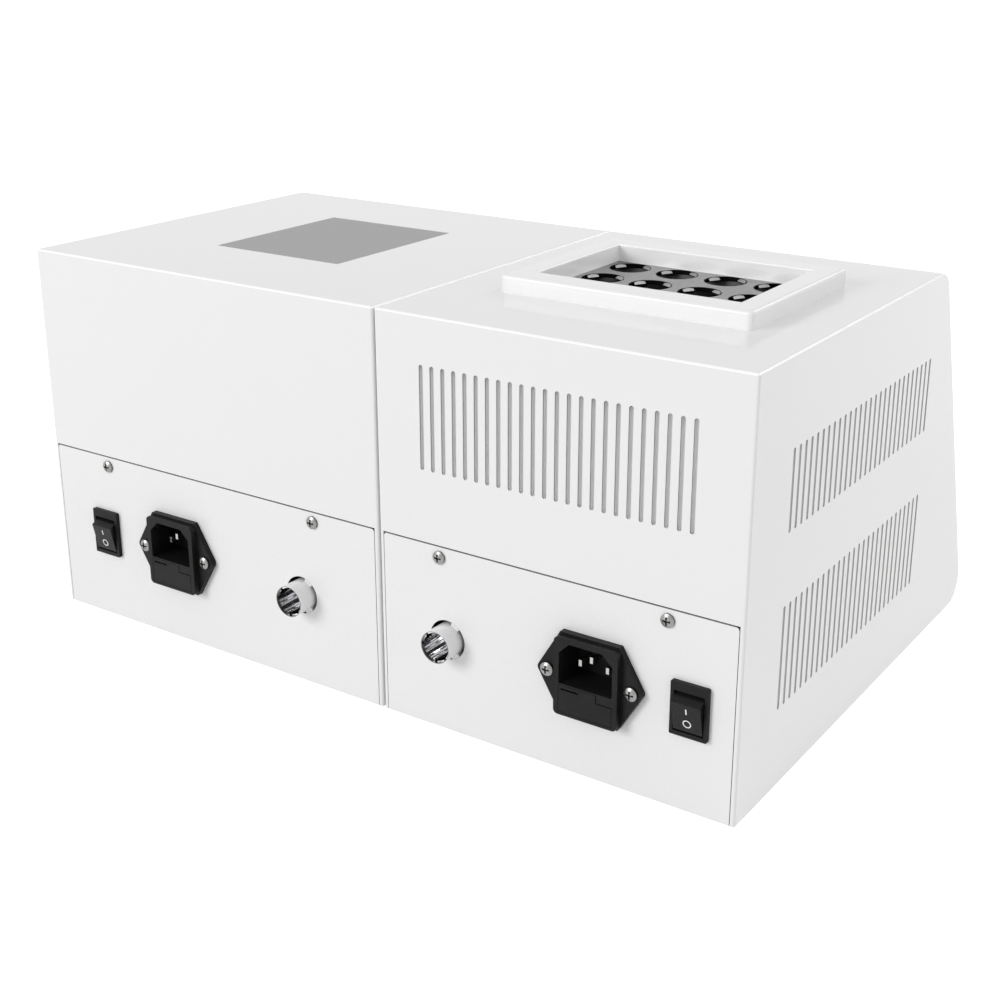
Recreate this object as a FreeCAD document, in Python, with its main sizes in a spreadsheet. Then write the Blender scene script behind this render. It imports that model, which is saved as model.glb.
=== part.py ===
import FreeCAD, Part
import os
import re
import Sketcher
from FreeCAD import Placement, Rotation, Vector

os.makedirs("parts", exist_ok=True)

# Two-unit bench instrument: a digester with a heated block beside a reader with a flush cell lid.
# Row frame: +Z up, front at -Y, rear at +Y, reader at +X, origin at the middle of the footprint.

SIZES = {
    # Case, shared by both units; depths run from the rear face towards the front
    "cover_height": 188.0,
    "top_depth": 202.7,
    "base_depth": 272.9,
    "brow_radius": 11.0,
    "nose_radius": 12.5,
    "edge_radius": 1.2,
    "skirt": 1.5,
    "wall": 2.0,
    "nose_lip": 26.0,
    "foot_height": 4.0,
    "digester_width": 176.4,
    "reader_width": 210.4,
    "unit_gap": 1.0,
    # Rear panels and the lip that their screws bite into
    "panel_height": 87.7,
    "panel_thickness": 1.5,
    "panel_gap": 0.3,
    "panel_corner": 2.0,
    "lip_thickness": 2.5,
    "lip_reach": 11.0,
    "lip_inset": 2.0,
    "panel_screw_drop": 5.4,
    "screw_head_radius": 3.0,
    "screw_head_height": 1.9,
    "screw_dome": 1.0,
    "screw_shank_radius": 1.5,
    "screw_shank_length": 7.0,
    "screw_clearance": 0.1,
    "recess_width": 0.8,
    "recess_span": 3.6,
    "recess_depth": 1.0,
    "reader_far_screw_side": 38.6,
    "reader_near_screw_side": 172.3,
    "digester_far_screw_side": 32.9,
    "digester_near_screw_side": 144.0,
    # Base plates, their corner bosses and feet
    "base_thickness": 1.5,
    "base_gap": 0.3,
    "boss_size": 11.0,
    "boss_height": 14.0,
    "boss_front": 236.0,
    "boss_rear": 24.0,
    "foot_radius": 8.0,
    "foot_taper": 1.0,
    "foot_plug_radius": 2.5,
    "foot_plug_tip": 1.0,
    "foot_inset": 28.0,
    "foot_front": 214.0,
    "foot_rear": 44.0,
    # Louvres of the digester
    "slot_width": 2.0,
    "slot_bevel": 0.6,
    "rear_slot_pitch": 5.57,
    "rear_slot_length": 46.3,
    "rear_slot_middle": 143.7,
    "rear_slot_count": 24,
    "side_slot_pitch": 5.585,
    "side_slot_count": 28,
    "side_slot_start": 36.2,
    "upper_slot_length": 35.3,
    "upper_slot_middle": 132.1,
    "lower_slot_length": 46.2,
    "lower_slot_middle": 59.7,
    "screen_thickness": 1.0,
    "screen_margin": 7.0,
    # Mains inlet with fuse drawer
    "inlet_height": 47.0,
    "reader_inlet_side": 84.6,
    "digester_inlet_side": 66.7,
    "flange_reach": 25.2,
    "flange_edge": 28.0,
    "flange_height": 37.5,
    "flange_thickness": 3.0,
    "flange_corner": 2.5,
    "inlet_screw_spacing": 40.0,
    "inlet_body_width": 30.3,
    "inlet_body_height": 35.5,
    "inlet_body_proud": 3.0,
    "inlet_body_corner": 2.2,
    "inlet_tail_width": 28.6,
    "inlet_tail_height": 33.0,
    "inlet_tail_length": 22.0,
    "socket_width": 25.4,
    "socket_height": 18.6,
    "socket_rise": 6.1,
    "socket_chamfer": 4.8,
    "socket_depth": 16.0,
    "drawer_width": 25.2,
    "drawer_height": 12.2,
    "drawer_drop": 10.2,
    "drawer_depth": 23.0,
    "drawer_gap": 0.2,
    "drawer_step_width": 7.4,
    "drawer_step_height": 3.4,
    "finger_slot_width": 8.4,
    "finger_slot_height": 0.8,
    "finger_slot_depth": 1.5,
    "finger_slot_drop": 1.6,
    "finger_slot_side": 1.0,
    "blade_width": 1.4,
    "blade_height": 2.8,
    "blade_length": 9.0,
    "blade_spacing": 6.5,
    "earth_rise": 2.3,
    "live_drop": 1.5,
    "earth_lead": 2.0,
    "fuse_radius": 2.5,
    "fuse_length": 20.0,
    "fuse_gap": 0.15,
    "fuse_inset": 15.0,
    "fuse_floor": 2.0,
    # Rocker switch
    "switch_height": 46.3,
    "reader_switch_side": 34.7,
    "digester_switch_side": 21.3,
    "bezel_width": 16.8,
    "bezel_height": 23.6,
    "bezel_thickness": 2.0,
    "bezel_corner": 0.6,
    "switch_body_width": 15.2,
    "switch_body_height": 21.4,
    "switch_body_length": 14.0,
    "mouth_above": 7.9,
    "mouth_below": 9.9,
    "mouth_depth": 10.5,
    "rocker_width": 13.0,
    "rocker_gap": 0.35,
    "pivot_depth": 1.4,
    "pivot_radius": 1.2,
    "pivot_gap": 0.06,
    "rocker_toe_down": 9.0,
    "rocker_toe_rise": 3.5,
    "rocker_ridge_rise": 6.4,
    "rocker_ridge_up": 4.2,
    "rocker_heel_rise": 0.9,
    "rocker_heel_up": 7.3,
    "rocker_back": 2.0,
    # Round port
    "port_height": 44.1,
    "reader_port_side": 163.8,
    "digester_port_side": 140.3,
    "port_radius": 7.6,
    "port_wall": 0.5,
    "port_reach": 9.3,
    "port_tail": 12.0,
    "port_hole_radius": 9.2,
    "lug_angle": 30.0,
    "lug_turn": 60.0,
    "lug_count": 3,
    "lug_gap": 0.1,
    "lug_overlap": 2.4,
    "lug_thickness": 2.0,
    "contact_wall": 0.6,
    "contact_recess": 1.0,
    "contact_slot": 1.5,
    "contact_slot_count": 8,
    "contact_floor": 2.0,
    # Heated block under the collar
    "top_centre_depth": 100.6,
    "collar_width": 120.3,
    "collar_depth": 96.2,
    "collar_height": 8.0,
    "collar_corner": 2.5,
    "collar_edge": 1.8,
    "opening_width": 97.8,
    "opening_depth": 71.4,
    "opening_edge": 0.8,
    "plate_rim": 4.0,
    "plate_gap": 0.3,
    "well_columns": 4,
    "well_rows": 3,
    "well_pitch_across": 24.4,
    "well_pitch_deep": 25.2,
    "plate_hole_radius": 9.7,
    "tab_width": 5.6,
    "tab_length": 2.2,
    "tab_thickness": 0.8,
    "tab_lean": 38.0,
    "tab_turn": 60.0,
    "tab_count": 4,
    "well_radius": 8.3,
    "well_depth": 48.0,
    "block_drop": 8.0,
    "block_margin": 1.5,
    "block_height": 58.0,
    "heater_thickness": 4.0,
    "jacket_wall": 10.0,
    "jacket_fit": 0.3,
    "standoff_radius": 5.0,
    "probe_radius": 2.0,
    "probe_depth": 22.0,
    "probe_length": 40.0,
    "probe_gap": 0.1,
    "grip_radius": 3.2,
    "grip_length": 10.0,
    "cutout_radius": 8.0,
    "cutout_thickness": 6.0,
    "cutout_proud": 2.0,
    # Cell compartment and lid of the reader
    "lid_side": 106.5,
    "lid_width": 76.5,
    "lid_depth": 89.0,
    "lid_thickness": 4.4,
    "lid_gap": 0.3,
    "lid_rest_gap": 0.2,
    "hinge_pin_radius": 1.0,
    "hinge_pin_gap": 0.05,
    "hinge_pin_overhang": 4.0,
    "tray_flange": 7.0,
    "tray_ledge": 5.0,
    "tray_wall": 2.5,
    "tray_depth": 24.0,
    "holder_size": 44.0,
    "holder_height": 58.0,
    "vial_radius": 8.3,
    "vial_depth": 52.0,
    "window_radius": 3.0,
    "optic_width": 26.0,
    "optic_length": 20.0,
    "optic_height": 30.0,
    "optic_rise": 12.0,
    "latch_width": 12.0,
    "latch_length": 8.0,
    "latch_drop": 1.0,
    "plunger_radius": 2.0,
    "plunger_length": 10.0,
    "plunger_gap": 0.08,
    "plunger_travel": 1.5,
    # Control panel on the sloping front
    "front_level": 100.0,
    "window_width": 92.0,
    "window_height": 42.0,
    "window_thickness": 1.2,
    "window_rim": 4.0,
    "window_rise": 26.0,
    "window_gap": 0.15,
    "key_width": 16.0,
    "key_height": 9.0,
    "key_pitch": 26.0,
    "key_drop": 18.0,
    "key_proud": 1.2,
    "key_corner": 1.5,
    "key_gap": 0.3,
    "key_flange": 1.0,
    "key_flange_thickness": 1.2,
    "key_stem": 3.5,
    "key_travel": 1.2,
    "board_thickness": 1.6,
    "board_setback": 14.0,
    "board_width": 120.0,
    "board_height": 92.0,
    "display_gap": 0.5,
    "pillar_radius": 3.0,
    "pillar_inset": 6.0,
    # Power board on the base plate
    "power_width": 94.0,
    "power_depth": 84.0,
    "power_front": 196.0,
    "power_lift": 8.0,
    "part_inset": 7.0,
    "transformer_size": 42.0,
    "transformer_height": 34.0,
    "capacitor_radius": 9.0,
    "capacitor_height": 26.0,
    "relay_width": 28.0,
    "relay_depth": 13.0,
    "relay_height": 18.0,
    # Bolts that tie the two units together
    "tie_radius": 2.0,
    "tie_head_radius": 4.2,
    "tie_head": 3.0,
    "tie_washer_radius": 6.0,
    "tie_front": 190.0,
    "tie_rear": 30.0,
    "tie_low": 40.0,
    "tie_high": 140.0,
    # How far a cutting tool runs past the face that it opens
    "overcut": 1.0,
}

# Sizes that follow from the driving ones
DERIVED = {
    "lean": "(base_depth - top_depth) / cover_height",
    "stretch": "sqrt(1 + lean * lean)",
    "nose_form": "nose_radius + skirt * stretch / (lean + stretch)",
    "case_depth": "base_depth + lean * skirt - nose_form * (lean + stretch - 1)",
    "case_width": "reader_width + digester_width + unit_gap",
    "rear_y": "(case_depth - port_reach) / 2",
    "reader_mid": "(case_width - reader_width) / 2",
    "digester_mid": "-(case_width - digester_width) / 2",
    "top_z": "foot_height + cover_height",
    "under_top_z": "top_z - wall",
    "base_top_z": "foot_height + base_thickness",
    "top_centre_y": "rear_y - top_centre_depth",
    "plate_width": "opening_width + 2 * plate_rim",
    "plate_depth": "opening_depth + 2 * plate_rim",
    "block_width": "well_pitch_across * (well_columns - 1) + 2 * (well_radius + block_margin)",
    "block_depth": "well_pitch_deep * (well_rows - 1) + 2 * (well_radius + block_margin)",
    "block_top_z": "top_z - block_drop",
    "block_floor_z": "block_top_z - block_height",
    "jacket_width": "plate_width + 2 * jacket_wall",
    "jacket_depth": "plate_depth + 2 * jacket_wall",
    "jacket_floor_z": "block_floor_z - heater_thickness - jacket_wall",
    "lid_aside": "lid_side - reader_width / 2",
    "lid_mid": "reader_mid - lid_aside",
    "hole_width": "lid_width + 2 * lid_gap",
    "hole_depth": "lid_depth + 2 * lid_gap",
    "hinge_radius": "lid_thickness / 2",
    "hinge_y": "top_centre_y + lid_depth / 2 - hinge_radius",
    "hinge_z": "top_z - hinge_radius",
    "ledge_z": "top_z - lid_thickness - lid_rest_gap",
    "tray_floor_z": "top_z - tray_depth",
    "front_y": "rear_y - top_depth - lean * (cover_height - front_level)",
    "front_z": "foot_height + front_level",
    "socket_floor": "flange_thickness + inlet_body_proud - socket_depth",
    "inlet_face": "flange_thickness + inlet_body_proud",
    "contact_radius": "port_radius - port_wall",
    "claw_z": "-panel_thickness - lug_thickness",
    "fuse_y": "fuse_floor + fuse_radius - drawer_drop - drawer_height / 2",
    "dome_radius": "(screw_head_radius ^ 2 + screw_dome ^ 2) / (2 * screw_dome)",
    "probe_z": "block_top_z - (block_height + well_depth) / 2",
    "beam_drop": "(vial_depth + optic_rise) / 2",
    "panel_mid": "(window_rise - key_drop) / 2",
}

UNITS = ("digester", "reader")

# The rear frame: x to the viewer's right, y up, z outward from the rear face
REAR_TURN = Rotation(Vector(0, 1, 1), 180)
ALONG_X = Rotation(Vector(0, 1, 0), 90)
ALONG_Y = Rotation(Vector(1, 0, 0), -90)

doc = FreeCAD.newDocument("block_digester")
sheet = doc.addObject("Spreadsheet::Sheet", "Sizes")
for row, (alias, value) in enumerate(SIZES.items(), start=1):
    sheet.set(f"A{row}", alias)
    sheet.set(f"B{row}", str(value))
    sheet.setAlias(f"B{row}", alias)
doc.recompute()

pieces = []


def spell(formula):
    """Write a formula of size names as an expression on the sheet."""
    def swap(match):
        word = match.group(0)
        if word in SIZES:
            return "Sizes." + word
        if word in DERIVED:
            return "(" + spell(DERIVED[word]) + ")"
        return word
    return re.sub(r"[a-z][a-z_]*", swap, formula)


def bind(thing, path, formula):
    thing.setExpression(path, spell(formula))


def count(alias):
    return int(SIZES[alias])


def finish(thing, name):
    thing.Label = name
    pieces.append(thing)
    return thing


def place(thing, x="0", y="0", z="0", turn=None):
    thing.Placement = Placement(Vector(), turn or Rotation())
    bind(thing, "Placement.Base.x", x)
    bind(thing, "Placement.Base.y", y)
    bind(thing, "Placement.Base.z", z)
    return thing


def place_front(thing, unit, x="0"):
    """Stand a piece on the sloping front: x across, y up the slope, z outward."""
    place(thing, f"{unit}_mid + {x}", "front_y", "front_z", Rotation(Vector(1, 0, 0), 70))
    bind(thing, "Placement.Rotation.Angle", "90 deg - atan(lean)")
    return thing


def along(unit, side):
    """Rear frame x of a place given by its distance from the unit's outer side."""
    if unit == "reader":
        return f"({side} - reader_width / 2)"
    return f"(digester_width / 2 - {side})"


def place_rear(thing, unit, side, height):
    return place(thing, f"{unit}_mid - {along(unit, side)}", "rear_y", f"foot_height + {height}", REAR_TURN)


# Solids from primitives

def box(name, width, depth, height, x="0", y="0", z="0"):
    """A box centred on x and y that stands on z."""
    thing = doc.addObject("Part::Box", name)
    bind(thing, "Length", width)
    bind(thing, "Width", depth)
    bind(thing, "Height", height)
    return place(thing, f"({x}) - ({width}) / 2", f"({y}) - ({depth}) / 2", z)


def cylinder(name, radius, height, x="0", y="0", z="0", turn=None):
    thing = doc.addObject("Part::Cylinder", name)
    bind(thing, "Radius", radius)
    bind(thing, "Height", height)
    return place(thing, x, y, z, turn)


def cone(name, low_radius, high_radius, height, z="0"):
    thing = doc.addObject("Part::Cone", name)
    bind(thing, "Radius1", low_radius)
    bind(thing, "Radius2", high_radius)
    bind(thing, "Height", height)
    return place(thing, z=z)


def join(name, things):
    thing = doc.addObject("Part::MultiFuse", name)
    thing.Shapes = things
    thing.Refine = True
    return thing


def group(name, things):
    thing = doc.addObject("Part::Compound", name)
    thing.Links = things
    return thing


def cut(name, base, tools):
    thing = doc.addObject("Part::Cut", name)
    thing.Base = base
    thing.Tool = tools[0] if len(tools) == 1 else group(name + "_tools", tools)
    return thing


# Bodies, sketches and features

def new_body(name):
    body = doc.addObject("PartDesign::Body", name)
    return body


def origin_plane(body, role):
    return next(item for item in body.Origin.OriginFeatures if item.Role == role)


def new_sketch(body, name, role, x="0", y="0", z="0", turn=None):
    sketch = body.newObject("Sketcher::SketchObject", name)
    sketch.AttachmentSupport = (origin_plane(body, role), [""])
    sketch.MapMode = "FlatFace"
    sketch.AttachmentOffset = Placement(Vector(), turn or Rotation())
    bind(sketch, "AttachmentOffset.Base.x", x)
    bind(sketch, "AttachmentOffset.Base.y", y)
    bind(sketch, "AttachmentOffset.Base.z", z)
    return sketch


def rule(sketch, kind, *what):
    return sketch.addConstraint(Sketcher.Constraint(kind, *what))


def measure(sketch, name, formula, kind, *what):
    sketch.renameConstraint(rule(sketch, kind, *what), name)
    bind(sketch, "Constraints." + name, formula)


def draw_outline(sketch, points):
    """A closed outline of straight lines; line i runs from point i to the next."""
    corners = [Vector(x, y, 0) for x, y in points]
    for start, end in zip(corners, corners[1:] + corners[:1]):
        sketch.addGeometry(Part.LineSegment(start, end), False)
    total = len(corners)
    for line in range(total):
        rule(sketch, "Coincident", line, 2, (line + 1) % total, 1)


def draw_rectangle(sketch, width, height):
    draw_outline(sketch, [(-5, -5), (5, -5), (5, 5), (-5, 5)])
    for line in (0, 2):
        rule(sketch, "Horizontal", line)
    for line in (1, 3):
        rule(sketch, "Vertical", line)
    rule(sketch, "Symmetric", 0, 1, 1, 2, -1, 1)
    measure(sketch, "across", width, "DistanceX", 0, 1, 0, 2, 10)
    measure(sketch, "upright", height, "DistanceY", 1, 1, 1, 2, 10)


def draw_circle(sketch, radius):
    sketch.addGeometry(Part.Circle(Vector(), Vector(0, 0, 1), 5), False)
    rule(sketch, "Coincident", 0, 3, -1, 1)
    measure(sketch, "round", radius, "Radius", 0, 5)


def draw_slot(sketch, width, length, bevel):
    """An upright slot with bevelled ends, centred on the sketch's origin."""
    draw_outline(sketch, [(1, -9), (1, 9), (0.4, 10), (-0.4, 10),
                          (-1, 9), (-1, -9), (-0.4, -10), (0.4, -10)])
    for corner in range(4):
        rule(sketch, "Symmetric", corner, 1, corner + 4, 1, -1, 1)
    rule(sketch, "Symmetric", 1, 1, 4, 1, -2)
    rule(sketch, "Symmetric", 2, 1, 3, 1, -2)
    measure(sketch, "across", width, "DistanceX", 4, 1, 1, 1, 2)
    measure(sketch, "tip", f"({width}) - 2 * ({bevel})", "DistanceX", 3, 1, 2, 1, 0.8)
    measure(sketch, "sides", f"({length}) - 2 * ({bevel})", "DistanceY", 0, 1, 1, 1, 18)
    measure(sketch, "upright", length, "DistanceY", 7, 1, 2, 1, 20)


def draw_hexagon(sketch, reach, edge, height):
    """A flange outline with a tip on each side and level edges above and below."""
    draw_outline(sketch, [(25, 0), (14, 18), (-14, 18), (-25, 0), (-14, -18), (14, -18)])
    rule(sketch, "Symmetric", 0, 1, 3, 1, -1, 1)
    rule(sketch, "PointOnObject", 0, 1, -1)
    rule(sketch, "Symmetric", 1, 1, 4, 1, -1, 1)
    rule(sketch, "Symmetric", 2, 1, 5, 1, -1, 1)
    rule(sketch, "Horizontal", 1)
    rule(sketch, "Vertical", 1, 1, 5, 1)
    measure(sketch, "tips", f"2 * ({reach})", "DistanceX", 3, 1, 0, 1, 50)
    measure(sketch, "edge", edge, "DistanceX", 1, 2, 1, 1, 28)
    measure(sketch, "upright", height, "DistanceY", 5, 1, 1, 1, 36)


def draw_socket(sketch, width, height, chamfer):
    """A rectangle whose two upper corners are cut off."""
    draw_outline(sketch, [(-12, -9), (12, -9), (12, 5), (8, 9), (-8, 9), (-12, 5)])
    rule(sketch, "Symmetric", 0, 1, 1, 1, -2)
    rule(sketch, "Symmetric", 5, 1, 2, 1, -2)
    rule(sketch, "Symmetric", 4, 1, 3, 1, -2)
    rule(sketch, "Vertical", 1)
    measure(sketch, "across", width, "DistanceX", 0, 1, 0, 2, 24)
    measure(sketch, "roof", f"({width}) - 2 * ({chamfer})", "DistanceX", 4, 1, 3, 1, 16)
    measure(sketch, "upright", height, "DistanceY", 1, 1, 3, 1, 18)
    measure(sketch, "cut_off", chamfer, "DistanceY", 2, 1, 3, 1, 4)
    measure(sketch, "half", f"({height}) / 2", "DistanceY", 1, 1, -1, 1, 9)


def draw_case_side(sketch, height, top, bottom):
    """Upright rear, level top and bottom, sloping front; the rear bottom corner is the origin."""
    draw_outline(sketch, [(0, 0), (0, 188), (-202, 188), (-272, 0)])
    rule(sketch, "Coincident", 0, 1, -1, 1)
    rule(sketch, "Vertical", 0)
    rule(sketch, "Horizontal", 1)
    rule(sketch, "Horizontal", 3)
    measure(sketch, "upright", height, "DistanceY", 0, 1, 0, 2, 188)
    measure(sketch, "roof", top, "DistanceX", 1, 2, 1, 1, 202)
    measure(sketch, "floor", bottom, "DistanceX", 3, 1, 3, 2, 272)


def extrude(body, kind, name, sketch, length, back=False, both=False):
    feature = body.newObject("PartDesign::" + kind, name)
    feature.Profile = sketch
    bind(feature, "Length", length)
    feature.Reversed = back
    if both:
        feature.SideType = "Symmetric"
    body.Tip = feature
    return feature


def pad(body, name, sketch, length, back=False, both=False):
    return extrude(body, "Pad", name, sketch, length, back, both)


def pocket(body, name, sketch, length, back=False, both=False):
    """Cut a sketch into its body and make sure that it takes something away."""
    doc.recompute()
    before = body.Shape.Volume
    feature = extrude(body, "Pocket", name, sketch, length, back, both)
    doc.recompute()
    if body.Shape.Volume > before - 1e-6:
        raise RuntimeError(name + " cuts nothing")
    return feature


def edges_where(shape, test):
    return [f"Edge{index}" for index, edge in enumerate(shape.Edges, start=1) if test(edge)]


def round_edges(body, name, radius, test):
    """Round the edges of the body's last feature that pass the test."""
    doc.recompute()
    base = body.Tip
    names = edges_where(base.Shape, test)
    if not names:
        raise RuntimeError(name + " finds no edge")
    feature = body.newObject("PartDesign::Fillet", name)
    feature.Base = (base, names)
    bind(feature, "Radius", radius)
    body.Tip = feature
    doc.recompute()
    return feature


def is_straight(edge, axis):
    if edge.Curve.TypeId != "Part::GeomLine":
        return False
    run = edge.Vertexes[-1].Point - edge.Vertexes[0].Point
    return abs(abs(run.normalize().dot(axis)) - 1) < 1e-6


def middle(edge):
    return edge.BoundBox.Center


X_AXIS = Vector(1, 0, 0)
Y_AXIS = Vector(0, 1, 0)
Z_AXIS = Vector(0, 0, 1)
FULL_TURN = 360
TINY = 1e-4


def front_edge(shape, reach, pick):
    """The crosswise edge of the given half length at the front, the highest or the lowest one."""
    lines = [edge for edge in shape.Edges if is_straight(edge, X_AXIS)]
    lines = [edge for edge in lines if abs(edge.BoundBox.XMax - reach) < TINY]
    level = pick(middle(edge).z for edge in lines)
    front = min(middle(edge).y for edge in lines if abs(middle(edge).z - level) < TINY)
    spot = Vector(0, front, level)
    return lambda edge: is_straight(edge, X_AXIS) and (middle(edge) - spot).Length < TINY


# Covers

def cover_blank(unit):
    """The hollow form of a cover with rounded brow, nose and rims and a square bottom edge."""
    name = unit + "_cover"
    body = new_body(name)
    side = new_sketch(body, name + "_side", "YZ_Plane", "0", "-skirt")
    draw_case_side(side, "cover_height + skirt", "top_depth", "base_depth + lean * skirt")
    pad(body, name + "_form", side, unit + "_width", both=True)
    inside = new_sketch(body, name + "_inside", "YZ_Plane", "-wall", "wall")
    draw_case_side(inside, "cover_height - 2 * wall", "top_depth + wall * (lean - stretch - 1)",
                   "base_depth - wall * (lean + stretch + 1)")
    pocket(body, name + "_hollow", inside, unit + "_width - 2 * wall", both=True)
    half = body.Shape.BoundBox.XMax
    inner = half - SIZES["wall"]
    for label, reach, pick, radius in (("inner_brow", inner, max, "brow_radius - wall"),
                                       ("inner_nose", inner, min, "nose_radius - wall"),
                                       ("outer_brow", half, max, "brow_radius"),
                                       ("outer_nose", half, min, "nose_form")):
        doc.recompute()
        round_edges(body, f"{name}_{label}", radius, front_edge(body.Shape, reach, pick))

    def on_side_rim(edge):
        bounds = edge.BoundBox
        return abs(abs(middle(edge).x) - half) < TINY and bounds.XLength < TINY and bounds.ZMax > TINY

    round_edges(body, name + "_rims", "edge_radius", on_side_rim)
    below = new_sketch(body, name + "_below", "XY_Plane", "0", "-base_depth / 2")
    draw_rectangle(below, unit + "_width + 2 * overcut", "base_depth + 2 * skirt")
    pocket(body, name + "_square_bottom", below, "skirt + overcut")
    return body


def open_cover(unit, body):
    """The floor opening for the base plate and the rear opening for the panel."""
    name = unit + "_cover"
    reach = "base_depth - nose_lip + overcut"
    floor = new_sketch(body, name + "_floor", "XY_Plane", "0", f"overcut - ({reach}) / 2")
    draw_rectangle(floor, unit + "_width - 2 * wall", reach)
    pocket(body, name + "_floor_opening", floor, "wall + overcut", back=True)
    rear = new_sketch(body, name + "_rear", "XZ_Plane", "0", "(panel_height - overcut) / 2", "-overcut")
    draw_rectangle(rear, unit + "_width - 2 * wall", "panel_height + overcut")
    pocket(body, name + "_rear_opening", rear, "wall + 2 * overcut", back=True)
    lip = new_sketch(body, name + "_lip", "XZ_Plane", "0", "panel_height", "panel_thickness")
    draw_rectangle(lip, unit + "_width - 2 * wall - 2 * lip_inset", "2 * lip_reach")
    pad(body, name + "_lip_strip", lip, "lip_thickness")
    for hand in (-1, 1):
        x = f"{hand} * ({unit}_width / 2 - wall - boss_size / 2)"
        for end in ("boss_front", "boss_rear"):
            boss = f"{name}_{end}_{hand + 1}"
            spot = new_sketch(body, boss, "XY_Plane", x, "-" + end, "base_thickness")
            draw_rectangle(spot, "boss_size", "boss_size")
            pad(body, boss + "_block", spot, "boss_height")
            hole = new_sketch(body, boss + "_hole", "XY_Plane", x, "-" + end, "base_thickness")
            draw_circle(hole, "screw_shank_radius + screw_clearance")
            pocket(body, boss + "_bore", hole, "screw_shank_length + overcut", back=True)
    for end in ("far", "near"):
        side = along(unit, f"{unit}_{end}_screw_side")
        hole = new_sketch(body, f"{name}_{end}_hole", "XZ_Plane", f"-{side}",
                          "panel_height - panel_screw_drop")
        draw_circle(hole, "screw_shank_radius + screw_clearance")
        pocket(body, f"{name}_{end}_bore", hole, "2 * (panel_thickness + lip_thickness + overcut)", both=True)


def slope_sketch(body, name, x, up, depth):
    """A sketch parallel to the sloping front, at a distance up the slope and a depth below it."""
    level = f"front_level + (({up}) - ({depth}) * lean) / stretch"
    forward = f"top_depth + lean * (cover_height - front_level) - (({up}) * lean + ({depth})) / stretch"
    spot = new_sketch(body, name, "XZ_Plane", x, level, forward, Rotation(Vector(-1, 0, 0), 20))
    bind(spot, "AttachmentOffset.Rotation.Angle", "atan(lean)")
    return spot


def cut_control_panel(unit, body):
    """The window recess, the window hole and the key holes in the sloping front."""
    name = unit + "_cover"
    recess = slope_sketch(body, name + "_window_recess", "0", "window_rise", "window_thickness")
    draw_rectangle(recess, "window_width + 2 * window_gap", "window_height + 2 * window_gap")
    pocket(body, name + "_window_step", recess, "window_thickness + overcut", back=True)
    hole = slope_sketch(body, name + "_window_hole", "0", "window_rise", "wall + overcut")
    draw_rectangle(hole, "window_width - 2 * window_rim", "window_height - 2 * window_rim")
    pocket(body, name + "_window_cut", hole, "wall + 2 * overcut", back=True)
    for number, step in enumerate(("-key_pitch", "0", "key_pitch"), start=1):
        spot = slope_sketch(body, f"{name}_key_{number}", step, "-key_drop", "wall + overcut")
        draw_rectangle(spot, "key_width + 2 * key_gap", "key_height + 2 * key_gap")
        pocket(body, f"{name}_key_hole_{number}", spot, "wall + 2 * overcut", back=True)


def repeat(body, name, feature, role, span, total):
    pattern = body.newObject("PartDesign::LinearPattern", name)
    pattern.Originals = [feature]
    axis = origin_plane(body, role)
    pattern.Direction = (axis, [""])
    bind(pattern, "Length", span)
    bind(pattern, "Occurrences", total)
    body.Tip = pattern
    return pattern


def cut_louvres(body):
    """A row of upright slots across the rear and two rows along the outer side."""
    name = "digester_cover"
    rear_span = "rear_slot_pitch * (rear_slot_count - 1)"
    rear = new_sketch(body, name + "_rear_slot", "XZ_Plane", f"-({rear_span}) / 2",
                      "rear_slot_middle", "-overcut")
    draw_slot(rear, "slot_width", "rear_slot_length", "slot_bevel")
    first = pocket(body, name + "_first_rear_slot", rear, "wall + 2 * overcut", back=True)
    repeat(body, name + "_rear_slots", first, "X_Axis", rear_span, "rear_slot_count")
    side_span = "side_slot_pitch * (side_slot_count - 1)"
    for level in ("upper", "lower"):
        spot = new_sketch(body, f"{name}_{level}_slot", "YZ_Plane", f"-side_slot_start - {side_span}",
                          f"{level}_slot_middle", "-digester_width / 2 - overcut")
        draw_slot(spot, "slot_width", f"{level}_slot_length", "slot_bevel")
        first = pocket(body, f"{name}_first_{level}_slot", spot, "wall + 2 * overcut", back=True)
        repeat(body, f"{name}_{level}_slots", first, "Y_Axis", side_span, "side_slot_count")


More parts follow.
